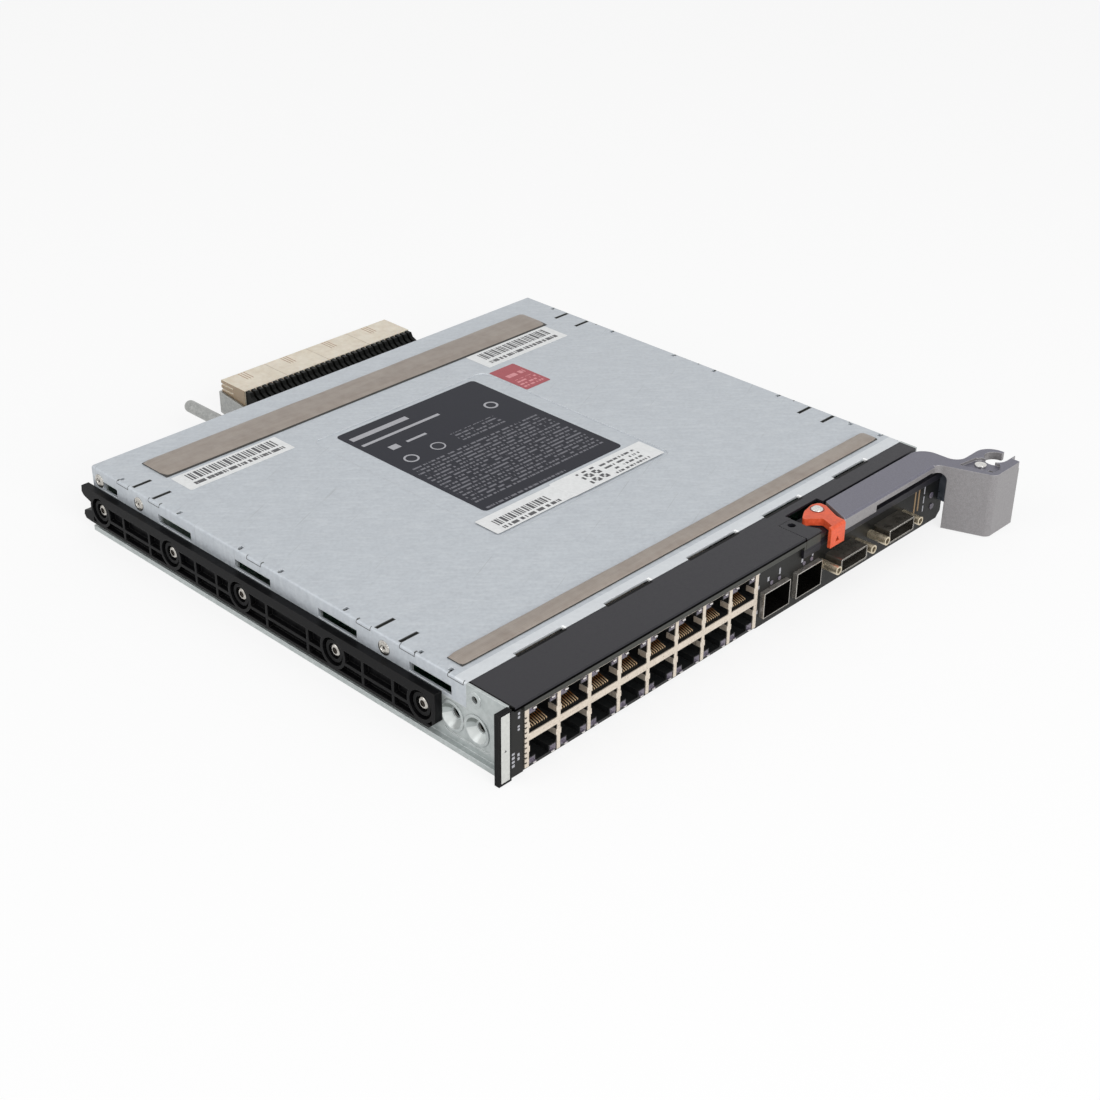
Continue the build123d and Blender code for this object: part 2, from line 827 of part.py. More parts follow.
def make_seal(x0, x1, y0, y1, slope):
    points = [
        (y0, lid_top), (y0, lid_top + seal_high * 0.4),
        (y0 + slope, lid_top + seal_high), (y1 - 0.6, lid_top + seal_high),
        (y1, lid_top + seal_high * 0.6), (y1, lid_top),
    ]
    return side_shape(points, x0, x1)


back_seal = make_seal(
    body_left + 14.1, body_right - 16.7, back_seal_front, back_seal_back, 5.2
)
front_seal = make_seal(
    body_left + 5.4, body_right - 5.7, front_seal_front, front_seal_back, 2.0
)

# Chips and coolers on the board, behind the lid
chip_x = body_middle - 9.3
chip_y = body_depth * 0.507
main_chip = slab(
    chip_x - 20, chip_x + 20, chip_y - 20, chip_y + 20, board_high, board_high + 2.6
)
cooler_low = board_high + 2.6
cooler_half = 28.0
fin_count = 9
fin = 1.2
main_cooler = slab(
    chip_x - cooler_half, chip_x + cooler_half, chip_y - cooler_half,
    chip_y + cooler_half, cooler_low, cooler_low + 2.4,
)
for index in range(fin_count):
    x = chip_x - cooler_half + index * (2 * cooler_half - fin) / (fin_count - 1)
    main_cooler = main_cooler + slab(
        x, x + fin, chip_y - cooler_half, chip_y + cooler_half,
        cooler_low, lid_bottom - 2.0,
    )
line_chips = []
line_chip_side = 17.0
line_chip_front = cage_depth + 3.0
for index in range(4):
    x = body_left + 18.6 + index * 27
    line_chips.append(slab(
        x, x + line_chip_side, line_chip_front, line_chip_front + line_chip_side,
        board_high, board_high + 1.8,
    ))
power_bricks = []
for middle_y in (chip_y - 1.0, chip_y + 41.0):
    power_bricks.append(slab(
        body_right - 51.2, body_right - 21.2, middle_y - 15, middle_y + 15,
        board_high, board_high + 9.0,
    ))

# Lever: cast arm, hooked hub and a deep skirt that wraps the corner of the face
pivot_x = face_width + 3.0
pivot_y = -13.0
pivot_radius = 1.6
pivot_clear = 0.05
arm_low = lid_top - 2.6
grip_low = lid_top - 5.1
hub_low = lid_top - 3.2
hub_front = -22.9
arm_front = -2.05
arm_end = pivot_x - 71.3
arm_end_back = pivot_x - 65.9
grip_right = pivot_x - 51.3
arm_back_edge = 10.3
slant_top = pivot_x - 12.7
slant_low = pivot_x - 5.0
slant = (slant_low - slant_top) / (hub_front - arm_front)
hub_right = pivot_x + 14.1
hook_lip = pivot_x + 11.5
arm_corners = [
    (arm_end_back, arm_back_edge, 0.6), (pivot_x - 5.5, arm_back_edge, 7.0),
    (pivot_x - 5.2, -6.5, 5.0), (hub_right, -6.5, 7.0), (hub_right, -19.2, 0),
    (hook_lip, -19.2, 0), (hook_lip, hub_front, 0.6), (slant_low, hub_front, 3.0),
    (slant_top, arm_front, 3.0), (arm_end, arm_front, 0.6),
]
lever = rounded_shape(arm_corners, hub_low, lid_top)
arm_bevel = side_shape(
    [(arm_front - 0.1, lid_top - 0.8), (arm_front + 0.8, lid_top + 0.1),
     (arm_front - 0.1, lid_top + 0.1)],
    arm_end - 1, slant_top - 1.5,
)
lever = lever - arm_bevel
lever = lever - slab(
    arm_end - 10, pivot_x - 15.0, -6, 14, hub_low - 1, arm_low
)
grip_points = [
    (arm_end_back, arm_back_edge), (grip_right, arm_back_edge),
    (grip_right, arm_front), (arm_end, arm_front),
]
lever = lever + flat_shape(grip_points, grip_low, lid_top - 0.8)
finger_pocket = flat_shape(
    [(arm_end_back + 2.1, arm_back_edge - 2.0),
     (grip_right - 1.8, arm_back_edge - 2.0),
     (grip_right - 1.8, arm_front + 1.8), (arm_end + 3.7, arm_front + 1.8)],
    grip_low - 1, arm_low - 0.2,
)
lever = lever - finger_pocket

# Hook: a round throat open to the right, with a sunk seat for the pin's head
hook_x = pivot_x + 8.2
hook_y = pivot_y - 1.4
hook_radius = 4.4
hub_seat = lid_top - 1.3
lever = lever - rod_up(hook_x, hook_y, 0, lid_top + 5, hook_radius)
lever = lever - slab(hook_x, pivot_x + 20, -18.9, hook_y, 20, 30)
seat_corners = [
    (pivot_x - 7.2, -7.7, 0.8), (pivot_x + 2.2, -9.2, 1.0), (pivot_x + 4.2, -11.0, 0),
    (pivot_x + 4.4, -18.4, 0), (pivot_x + 1.0, -20.9, 1.0),
    (pivot_x - 3.2, -20.9, 1.5),
]
lever = lever - rounded_shape(seat_corners, hub_seat, lid_top + 5)
lever = lever - rod_up(pivot_x - 1.7, -18.2, 0, 30, 1.3)

# Skirt of the lever, with the arch that joins it to the arm, and its bored barrel
skirt_wall = 2.0
skirt_low = 0.3
skirt_top_y = -6.0


def slant_x(y):
    return slant_top + slant * (y - arm_front)


skirt_inner = skirt_wall * (1 + slant ** 2) ** 0.5
skirt_inner_y = hub_front + skirt_wall
skirt_corners = [
    (slant_x(skirt_top_y), skirt_top_y, 0), (slant_low, hub_front, 3.0),
    (hook_lip, hub_front, 0), (hook_lip, skirt_inner_y, 0),
    (slant_x(skirt_inner_y) + skirt_inner, skirt_inner_y, 1.2),
    (slant_x(skirt_top_y) + skirt_inner, skirt_top_y, 0),
]
lever = lever + rounded_shape(skirt_corners, skirt_low, hub_low + 0.5)
arch_front = arm_front - 0.9
arch_radius = arch_front - skirt_top_y
arch_points = [
    (slant_x(arch_front), arch_front), (slant_x(skirt_top_y), skirt_top_y),
    (slant_x(skirt_top_y) + skirt_inner, skirt_top_y),
    (slant_x(arch_front) + skirt_inner, arch_front),
]
arch = flat_shape(arch_points, hub_low - arch_radius, hub_low + 0.4)
arch = arch - rod_across(
    arch_front, hub_low - arch_radius, slant_top - 5, slant_low + 5, arch_radius
)
lever = lever + arch
barrel_radius = 3.6
ear_thick = 1.6
ear_high = hub_low - 0.3
ear_low = 8.2
barrel_low = ear_low + ear_thick + 0.3
barrel_high = ear_high - ear_thick - 0.3
lever = lever + rod_up(pivot_x, pivot_y, barrel_low, barrel_high, barrel_radius)
lever = lever + slab(
    slant_x(pivot_y) + 1.0, pivot_x, pivot_y - 1.0, pivot_y + 1.0,
    barrel_low, barrel_high,
)
lever = lever + slab(
    pivot_x - 1.0, pivot_x + 1.0, skirt_inner_y - 0.5, pivot_y,
    barrel_low, barrel_high,
)
lever = lever - rod_up(
    pivot_x, pivot_y, 0, 30, pivot_radius + pivot_clear
)

# Lever bracket: folded steel ears on a web that is fixed outside the right wall
web_x = body_right
ear_points = [
    (web_x, 1.2), (web_x, -8.0), (pivot_x - 2.6, pivot_y - 2.4),
    (pivot_x + 2.6, pivot_y + 2.4), (pivot_x - 2.4, -0.6),
]
lever_bracket = slab(web_x, web_x + sheet, -8.0, 9.0, ear_low, ear_high)
for low in (ear_low, ear_high - ear_thick):
    lever_bracket = lever_bracket + flat_shape(ear_points, low, low + ear_thick)
    lever_bracket = lever_bracket + rod_up(
        pivot_x, pivot_y, low, low + ear_thick, barrel_radius
    )
lever_bracket = lever_bracket - rod_up(pivot_x, pivot_y, 0, 30, pivot_radius)
front_panel = front_panel - slab(
    web_x - 0.2, face_width + 1, -1, 3, ear_low - 0.2, lid_top
)
pin_head = 2.2
lever_pin = rod_up(pivot_x, pivot_y, ear_low - 0.8, hub_seat + 0.1, pivot_radius)
lever_pin = lever_pin + rod_up(
    pivot_x, pivot_y, hub_seat + 0.1, hub_seat + 0.8, pin_head
)
lever_pin = lever_pin + rod_up(pivot_x, pivot_y, ear_low - 1.2, ear_low, pin_head)

# Latch: moulded finger catch on a rivet, over a pocket in its own bracket
latch_x = shelf_left + 19.6
latch_y = 9.2
latch_low = lid_top - 2.9
rivet_radius = 1.5
tab_left = latch_x - 7.8
tab_right = latch_x + 0.5
tab_low = latch_low - 5.3
latch_corners = [
    (latch_x - 11.0, latch_y - 1.3, 1.2), (latch_x - 4.6, latch_y + 2.3, 5.0),
    (latch_x + 1.2, latch_y + 3.4, 2.5), (latch_x + 4.4, latch_y + 2.3, 1.8),
    (latch_x + 4.5, latch_y - 0.6, 1.5), (tab_right + 0.3, latch_y - 8.0, 3.0),
    (tab_right, -3.2, 0), (tab_left, -3.2, 0), (tab_left, -1.9, 0),
    (tab_left + 1.7, -1.9, 0.5), (latch_x - 4.0, latch_y - 5.8, 1.5),
    (latch_x - 7.6, latch_y - 2.2, 2.5),
]
latch = rounded_shape(latch_corners, latch_low, lid_top)
latch = latch + slab(tab_left, tab_right, -3.2, -1.8, tab_low, latch_low + 1)
front_edges = [
    edge for edge in latch.edges().filter_by(Axis.X)
    if edge.center().Z > lid_top - 0.01 and edge.center().Y < origin_y - 3.0
]
latch = fillet(front_edges, 1.2)
latch = latch - front_shape(
    [(tab_left + 2.8, tab_low + 1.6), (tab_left + 5.2, tab_low + 1.6),
     (tab_left + 4.0, tab_low + 3.8)],
    -4.0, 0.0,
)
latch = latch - rod_up(latch_x, latch_y, 20, 30, rivet_radius + 0.06)
latch_rivet = rod_up(latch_x, latch_y, arm_shelf, lid_top + 0.1, rivet_radius)
dome = spot(latch_x, latch_y, lid_top + 0.1) * Cone(2.3, 1.5, 0.6, align=(
    Align.CENTER, Align.CENTER, Align.MIN
))
latch_rivet = latch_rivet + dome
bracket_left = shelf_left + 0.3
bracket_front = -cover_proud + 0.1
bracket_back = arm_back - 0.2
latch_bracket = flat_shape(
    [(bracket_left, bracket_back), (latch_x + 5.1, bracket_back),
     (latch_x + 0.7, -0.6), (latch_x + 0.6, bracket_front),
     (bracket_left, bracket_front)],
    arm_shelf, cover_top,
)
pocket_floor = latch_low - 0.3
pocket_left = latch_x - 12.3
pocket_points = [
    (pocket_left, 13.0), (pocket_left, 4.6), (pocket_left + 2.4, -2.0),
    (latch_x + 9.7, -4.0), (latch_x + 9.7, 14.0),
]
latch_bracket = latch_bracket - flat_shape(pocket_points, pocket_floor, 30)
latch_bracket = latch_bracket - rod_up(latch_x, latch_y, 20, 30, rivet_radius)
latch_bracket = latch_bracket - rod_up(shelf_left + 3.9, 8.6, 24.2, 30, 1.5)
front_cover = front_cover - slab(
    pocket_left + 0.2, latch_x + 6.7, 11.0, 14.4, pocket_floor, 30
)
tab_room = slab(tab_left - 3.2, tab_right + 1.3, -3.0, -0.1, tab_low - 0.4, 30)
front_cover = front_cover - tab_room
latch_bracket = latch_bracket - tab_room
latch_spring = flat_shape(
    [(pocket_left + 0.2, 11.2), (pocket_left + 0.6, 11.2), (pocket_left + 0.6, 5.0),
     (pocket_left + 2.4, 0.2), (pocket_left + 2.0, 0.1), (pocket_left + 0.2, 4.9)],
    pocket_floor, pocket_floor + 2.0,
)

save("tray", tray)
save("top_cover", top_cover)
save("lid_screws", *lid_screws)
save("side_rail_left", rail)
save("side_rail_right", other_side(rail))
save("rail_screws", *rail_screws)
save("front_panel", front_panel)
save("front_cover", front_cover)
save("end_cap", end_cap)
save("end_strip", end_strip)
save("circuit_board", board)
save("board_spacers", *spacers)
save("board_screws", *board_screws)
save("jack_shield", jack_shield)
save("jack_body", jack_body)
save("jack_lights", *jack_lights)
save("jack_contacts", *jack_contacts)
save("cage_left", cages[0])
save("cage_right", cages[1])
save("cage_sockets", *cage_sockets)
save("link_shell_left", shells[0])
save("link_shell_right", shells[1])
save("link_cores", *cores)
save("link_posts", *posts)
save("status_lights", *lights)
save("plug_housings", *housings)
save("plug_blades", *blades)
save("guide_pin", guide_pin)
save("guide_foot", guide_foot)
save("guard_plate_left", guards[0])
save("guard_plate_right", guards[1])
save("back_seal", back_seal)
save("front_seal", front_seal)
save("main_chip", main_chip)
save("main_cooler", main_cooler)
save("line_chips", *line_chips)
save("power_bricks", *power_bricks)
save("ejector_lever", lever)
save("lever_bracket", lever_bracket)
save("lever_pin", lever_pin)
save("release_latch", latch)
save("latch_rivet", latch_rivet)
save("latch_bracket", latch_bracket)
save("latch_spring", latch_spring)
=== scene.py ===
import math

import bpy
from mathutils import Matrix, Vector


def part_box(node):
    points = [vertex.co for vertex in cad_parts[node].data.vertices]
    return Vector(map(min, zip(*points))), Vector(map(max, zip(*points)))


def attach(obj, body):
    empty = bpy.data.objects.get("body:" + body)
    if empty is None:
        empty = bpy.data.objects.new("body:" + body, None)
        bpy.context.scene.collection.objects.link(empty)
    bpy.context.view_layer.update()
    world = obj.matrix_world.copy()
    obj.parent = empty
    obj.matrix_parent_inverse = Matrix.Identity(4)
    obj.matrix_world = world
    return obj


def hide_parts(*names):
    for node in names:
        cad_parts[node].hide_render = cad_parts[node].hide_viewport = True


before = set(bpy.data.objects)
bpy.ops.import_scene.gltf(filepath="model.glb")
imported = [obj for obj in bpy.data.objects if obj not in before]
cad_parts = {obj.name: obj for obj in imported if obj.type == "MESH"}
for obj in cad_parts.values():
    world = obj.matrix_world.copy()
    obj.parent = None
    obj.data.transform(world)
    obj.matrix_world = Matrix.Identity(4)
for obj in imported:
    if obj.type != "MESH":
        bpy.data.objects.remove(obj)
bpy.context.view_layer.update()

# Tray
# The tray is one sheet of zinc coated steel, blanked, pierced and folded.
# Its zinc shows as a soft mottle, and handling has left faint rubs and grey smudges on it.
face_width = 240.0
body_depth = 221.0
mm = 0.001
zinc_pale = (0.50, 0.535, 0.53, 1)
zinc_dark = (0.39, 0.425, 0.42, 1)
zinc_edge = (0.78, 0.80, 0.80, 1)
zinc_smudge = (0.22, 0.235, 0.225, 1)
dimple_shine = (0.93, 0.95, 0.93, 1)
dimple_shade = (0.10, 0.115, 0.10, 1)
body_middle = 121.3
dimple_near, dimple_far = 5.5, 9.5
dimple_front, dimple_back = 8.0, 31.5
dimple_low, dimple_high = 5.2, 16.2


def place(x, y, z):
    """A place in metres, from millimetres off the face's left end, its plane and the floor."""
    return Vector((x - face_width / 2, y - body_depth / 2, z)) * mm


def side_place(x, y, z):
    """The same for a mark on both sides, with its x counted from the body's middle."""
    return Vector((x - body_middle, y - body_depth / 2, z)) * mm


def feed(tree, socket, value):
    """Gives an input socket another node's output or a plain value."""
    if isinstance(value, bpy.types.NodeSocket):
        tree.links.new(value, socket)
    else:
        socket.default_value = value


def add_node(tree, kind, **values):
    """A new shader node with its inputs given by name."""
    node = tree.nodes.new(kind)
    for name, value in values.items():
        feed(tree, node.inputs[name.replace("_", " ")], value)
    return node


def new_group(name, inputs, outputs):
    """An empty node group, and the sockets inside it for its inputs and its outputs."""
    group = bpy.data.node_groups.new(name, "ShaderNodeTree")
    for label, kind, value in inputs:
        socket = group.interface.new_socket(label, in_out="INPUT", socket_type=kind)
        socket.default_value = value
    for label, kind in outputs:
        group.interface.new_socket(label, in_out="OUTPUT", socket_type=kind)
    given = group.nodes.new("NodeGroupInput").outputs
    result = group.nodes.new("NodeGroupOutput").inputs
    return group, given, result


def math_node(tree, operation, *values):
    """A Math node's result, from sockets or plain numbers."""
    node = tree.nodes.new("ShaderNodeMath")
    node.operation = operation
    for socket, value in zip(node.inputs, values):
        feed(tree, socket, value)
    return node.outputs[0]


def object_place(tree):
    """The place of a point of the object, in metres."""
    return tree.nodes.new("ShaderNodeTexCoord").outputs["Object"]


def face_turn(tree):
    """How far a face looks along each axis, from -1 to 1."""
    return tree.nodes.new("ShaderNodeNewGeometry").outputs["True Normal"]


def split(tree, vector):
    """The X, Y and Z of a place or direction."""
    return add_node(tree, "ShaderNodeSeparateXYZ", Vector=vector).outputs


# Mottle: cloudy patches with finer grain inside them
mottle, given, result = new_group(
    "mottle",
    [("Scale", "NodeSocketFloat", 100.0), ("Fine", "NodeSocketFloat", 4.0),
     ("Low", "NodeSocketFloat", 0.35), ("High", "NodeSocketFloat", 0.65)],
    [("Mask", "NodeSocketFloat")],
)
spot = object_place(mottle)
patches = add_node(
    mottle, "ShaderNodeTexNoise", Vector=spot, Scale=given["Scale"], Detail=6.0, Roughness=0.7
)
fine_scale = math_node(mottle, "MULTIPLY", given["Scale"], given["Fine"])
grain = add_node(mottle, "ShaderNodeTexNoise", Vector=spot, Scale=fine_scale, Detail=2.0)
both = math_node(mottle, "ADD", patches.outputs["Fac"], grain.outputs["Fac"])
halved = math_node(mottle, "MULTIPLY", both, 0.5)
spread = add_node(
    mottle, "ShaderNodeMapRange", Value=halved, From_Min=given["Low"], From_Max=given["High"]
)
mottle.links.new(spread.outputs["Result"], result["Mask"])

# Box spot: a mask that is on inside one box of the object, such as a hairline seam
box_spot, given, result = new_group(
    "box_spot",
    [("Low", "NodeSocketVector", (0, 0, 0)), ("High", "NodeSocketVector", (0, 0, 0)),
     ("Middle", "NodeSocketFloat", 0.0), ("Mirror", "NodeSocketFloat", 0.0)],
    [("Mask", "NodeSocketFloat")],
)
x, y, z = split(box_spot, object_place(box_spot))
offset = math_node(box_spot, "SUBTRACT", x, given["Middle"])
mirrored = math_node(box_spot, "ABSOLUTE", offset)
mirrored = math_node(box_spot, "MULTIPLY", mirrored, given["Mirror"])
plain = math_node(box_spot, "SUBTRACT", 1.0, given["Mirror"])
plain = math_node(box_spot, "MULTIPLY", offset, plain)
across = math_node(box_spot, "SUBTRACT", plain, mirrored)
lows = split(box_spot, given["Low"])
highs = split(box_spot, given["High"])
inside = 1.0
for value, low, high in zip((across, y, z), lows, highs):
    for operation, limit in (("GREATER_THAN", low), ("LESS_THAN", high)):
        side = math_node(box_spot, operation, value, limit)
        inside = math_node(box_spot, "MULTIPLY", inside, side)
box_spot.links.new(inside, result["Mask"])

# Worked edge: corners rounded in the shading, with the rub mark that handling leaves on them
worked_edge, given, result = new_group(
    "worked_edge",
    [("Radius", "NodeSocketFloat", 0.0003), ("Height", "NodeSocketFloat", 0.5),
     ("Strength", "NodeSocketFloat", 0.2), ("Depth", "NodeSocketFloat", 0.0002)],
    [("Normal", "NodeSocketVector"), ("Rub", "NodeSocketFloat")],
)
rub_start, rub_full = 0.985, 0.86
rounding = add_node(worked_edge, "ShaderNodeBevel", Radius=given["Radius"])
rounding.samples = 6
rounded = rounding.outputs["Normal"]
relief = add_node(
    worked_edge, "ShaderNodeBump", Strength=given["Strength"], Distance=given["Depth"],
    Height=given["Height"], Normal=rounded,
)
worked_edge.links.new(relief.outputs["Normal"], result["Normal"])
turn = worked_edge.nodes.new("ShaderNodeVectorMath")
turn.operation = "DOT_PRODUCT"
for socket, direction in zip(turn.inputs, (rounded, face_turn(worked_edge))):
    worked_edge.links.new(direction, socket)
corner = add_node(
    worked_edge, "ShaderNodeMapRange", Value=turn.outputs["Value"], From_Min=rub_start,
    From_Max=rub_full,
)
worked_edge.links.new(corner.outputs["Result"], result["Rub"])


def new_material(name, roughness, metallic):
    """A material with its shader, and its two constant values."""
    material = bpy.data.materials.new(name)
    material.use_nodes = True
    shader = material.node_tree.nodes["Principled BSDF"]
    shader.inputs["Roughness"].default_value = roughness
    shader.inputs["Metallic"].default_value = metallic
    return material, material.node_tree, shader


def use_group(tree, group, **values):
    """The outputs of a group placed in a material with its own values."""
    node = tree.nodes.new("ShaderNodeGroup")
    node.node_tree = group
    for name, value in values.items():
        feed(tree, node.inputs[name], value)
    return node.outputs


def blend_colors(tree, mask, first, second, blend="MIX"):
    """A colour between two by a mask; each is a socket or a plain colour."""
    node = tree.nodes.new("ShaderNodeMix")
    node.data_type = "RGBA"
    node.blend_type = blend
    tree.links.new(mask, node.inputs["Factor"])
    for label, value in (("A", first), ("B", second)):
        socket = [s for s in node.inputs if s.name == label and s.type == "RGBA"][0]
        feed(tree, socket, value)
    return [s for s in node.outputs if s.type == "RGBA"][0]


def add_spots(tree, spots, surface, color, middle=0.0, mirror=0.0):
    """Marks of one colour laid over a surface, each a box given by its two corners."""
    for low, high in spots:
        spot = use_group(tree, box_spot, Low=low, High=high, Middle=middle, Mirror=mirror)
        surface = blend_colors(tree, spot["Mask"], surface, color)
    return surface


def scaled(tree, mask, share):
    """A mask turned down to a share of its strength."""
    return math_node(tree, "MULTIPLY", mask, share)


def between(tree, mask, low, high):
    """A mask from 0 to 1 spread over two numbers."""
    node = add_node(tree, "ShaderNodeMapRange", Value=mask, To_Min=low, To_Max=high)
    return node.outputs["Result"]


def coat(material, *names):
    """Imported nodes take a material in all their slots."""
    for name in names:
        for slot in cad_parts[name].material_slots:
            slot.material = material


def finish(name, roughness, metallic, dark, pale, patches, edge_color, edge_share,
           radius=0.0003, bump=0.15, bump_depth=0.0001, rough_spread=0.08, specular=0.5):
    """A mottled finish between two colours, paler along rubbed edges."""
    material, tree, shader = new_material(name, roughness, metallic)
    shader.inputs["Specular IOR Level"].default_value = specular
    cloud = use_group(tree, mottle, Scale=patches)["Mask"]
    edge = use_group(
        tree, worked_edge, Height=cloud, Radius=radius, Strength=bump, Depth=bump_depth
    )
    body = blend_colors(tree, cloud, dark, pale)
    color = blend_colors(tree, scaled(tree, edge["Rub"], edge_share), body, edge_color)
    tree.links.new(color, shader.inputs["Base Color"])
    tree.links.new(edge["Normal"], shader.inputs["Normal"])
    rough = between(tree, cloud, roughness - rough_spread, roughness + rough_spread)
    tree.links.new(rough, shader.inputs["Roughness"])
    return material, tree, shader, color


middle_x = place(body_middle, 0, 0).x
zinc_sheet, tree, shader, color = finish(
    "zinc_sheet", 0.40, 0.45, zinc_dark, zinc_pale, 130.0, zinc_edge, 0.55
)
smudge = use_group(tree, mottle, Scale=22.0, Fine=9.0, Low=0.54, High=0.72)
smudged = blend_colors(tree, scaled(tree, smudge["Mask"], 0.35), color, zinc_smudge)

# The dimples' lower halves catch the light, and their upper halves lie in shade
dimple_room = use_group(
    tree, box_spot, Middle=middle_x, Mirror=1.0,
    Low=side_place(dimple_near, dimple_front, dimple_low),
    High=side_place(dimple_far, dimple_back, dimple_high),
)
upward = split(tree, face_turn(tree))["Z"]
for operation, limit, share, dimple_color in (
    ("GREATER_THAN", 0.2, 0.42, dimple_shine), ("LESS_THAN", -0.2, 0.6, dimple_shade),
):
    side = math_node(tree, operation, upward, limit)
    side = math_node(tree, "MULTIPLY", side, dimple_room["Mask"])
    smudged = blend_colors(tree, scaled(tree, side, share), smudged, dimple_color)
tree.links.new(smudged, shader.inputs["Base Color"])
coat(zinc_sheet, "tray")

# Circuit board, its spacers and screws
# The board is glass cloth and resin with a green mask, and fine copper tracks show through it.
# Seven steel spacers carry it, each with a plated screw.
mask_green = (0.012, 0.085, 0.045, 1)
track_green = (0.03, 0.16, 0.08, 1)
plated_pale = (0.78, 0.77, 0.74, 1)
plated_dark = (0.52, 0.51, 0.49, 1)
bright_white = (0.95, 0.95, 0.94, 1)
board_mask, tree, shader, color = finish(
    "board_mask", 0.35, 0.0, mask_green, mask_green, 60.0, track_green, 0.3
)
track_lines = add_node(
    tree, "ShaderNodeTexBrick", Vector=object_place(tree), Scale=260.0, Mortar_Size=0.06
)
tracks = blend_colors(tree, track_lines.outputs["Fac"], color, track_green)
tree.links.new(tracks, shader.inputs["Base Color"])
coat(board_mask, "circuit_board")
plated_steel, *_ = finish(
    "plated_steel", 0.24, 0.9, plated_dark, plated_pale, 700.0, bright_white, 0.6
)
coat(plated_steel, "board_spacers", "board_screws")

# Chips, cooler and power bricks
# Moulded chips and bricks stand on the board, the largest under a finned aluminium cooler.
# The lid hides them, apart from what the side windows let through.
chip_dark = (0.018, 0.018, 0.02, 1)
chip_pale = (0.03, 0.03, 0.033, 1)
chip_edge = (0.08, 0.08, 0.08, 1)
cooler_dark = (0.42, 0.43, 0.45, 1)
cooler_pale = (0.60, 0.61, 0.63, 1)
chip_resin, *_ = finish(
    "chip_resin", 0.55, 0.0, chip_dark, chip_pale, 900.0, chip_edge, 0.3
)
coat(chip_resin, "main_chip", "line_chips", "power_bricks")
cooler_aluminium, *_ = finish(
    "cooler_aluminium", 0.42, 0.85, cooler_dark, cooler_pale, 400.0, bright_white, 0.3
)
coat(cooler_aluminium, "main_cooler")

# Plug at the back
# Four cream moulded housings stand side by side behind a row of thin black wafers.
# Their tops have faint brown mould marks, and each joint between two of them is a fine line.
cream_dark = (0.66, 0.58, 0.46, 1)
cream_pale = (0.76, 0.70, 0.59, 1)
cream_edge = (0.90, 0.86, 0.76, 1)
mark_brown = (0.34, 0.19, 0.10, 1)
joint_brown = (0.36, 0.27, 0.18, 1)
wafer_dark = (0.004, 0.004, 0.004, 1)
wafer_pale = (0.009, 0.010, 0.009, 1)
wafer_edge = (0.05, 0.05, 0.045, 1)
plug_modules = 4
mark_places = (8.6, 10.0, 11.4)
mark_half, mark_start, mark_end, mark_deep = 0.22, 7.5, 0.4, 0.3
joint_half = 0.12
cream_plastic, tree, shader, color = finish(
    "cream_plastic", 0.42, 0.0, cream_dark, cream_pale, 90.0, cream_edge, 0.4,
    rough_spread=0.05,
)
shader.inputs["Subsurface Weight"].default_value = 0.1
shader.inputs["Subsurface Radius"].default_value = (0.002, 0.0012, 0.0007)
plug_low, plug_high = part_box("plug_housings")
module_width = (plug_high.x - plug_low.x) / plug_modules
mould_marks = []
module_joints = []
for module in range(plug_modules):
    module_left = plug_low.x + module * module_width
    for offset in mark_places:
        mark = Vector((module_left + offset * mm, plug_high.y, plug_high.z))
        low = mark - Vector((mark_half, mark_start, mark_deep)) * mm
        high = mark + Vector((mark_half, -mark_end, mark_deep)) * mm
        mould_marks.append((low, high))
    low = Vector((module_left - joint_half * mm, plug_low.y - mm, plug_low.z - mm))
    high = Vector((module_left + joint_half * mm, plug_high.y + mm, plug_high.z + mm))
    module_joints.append((low, high))
marked = add_spots(tree, mould_marks, color, mark_brown)
marked = add_spots(tree, module_joints, marked, joint_brown)
tree.links.new(marked, shader.inputs["Base Color"])
coat(cream_plastic, "plug_housings")
wafer_black, *_ = finish(
    "wafer_black", 0.38, 0.0, wafer_dark, wafer_pale, 500.0, wafer_edge, 0.4,
    radius=0.00015, specular=0.1,
)
coat(wafer_black, "plug_blades")

# Guide pin and guard plates
# A turned steel pin stands in a block beside the plug, and bent steel plates guard its ends.
# They are plain steel with a dull grey finish.
steel_dark = (0.27, 0.275, 0.27, 1)
steel_pale = (0.42, 0.425, 0.41, 1)
steel_edge = (0.70, 0.70, 0.68, 1)
dull_steel, *_ = finish(
    "dull_steel", 0.36, 0.8, steel_dark, steel_pale, 350.0, steel_edge, 0.6
)
coat(dull_steel, "guide_pin", "guide_foot", "guard_plate_left", "guard_plate_right")

# Lid
# The lid is a second folded sheet of the same zinc coated steel, a little cleaner than the
# tray. Rolling has left it with a fine slanted grain, and stacking with a few scratches.
lid_pale = (0.515, 0.55, 0.585, 1)
lid_dark = (0.44, 0.47, 0.505, 1)
lid_edge = (0.82, 0.84, 0.85, 1)
lid_top = 26.6
lid_left = 5.4
seam_and_shade_dark = (0.06, 0.062, 0.06, 1)
notch_highlight = (0.97, 0.98, 0.98, 1)

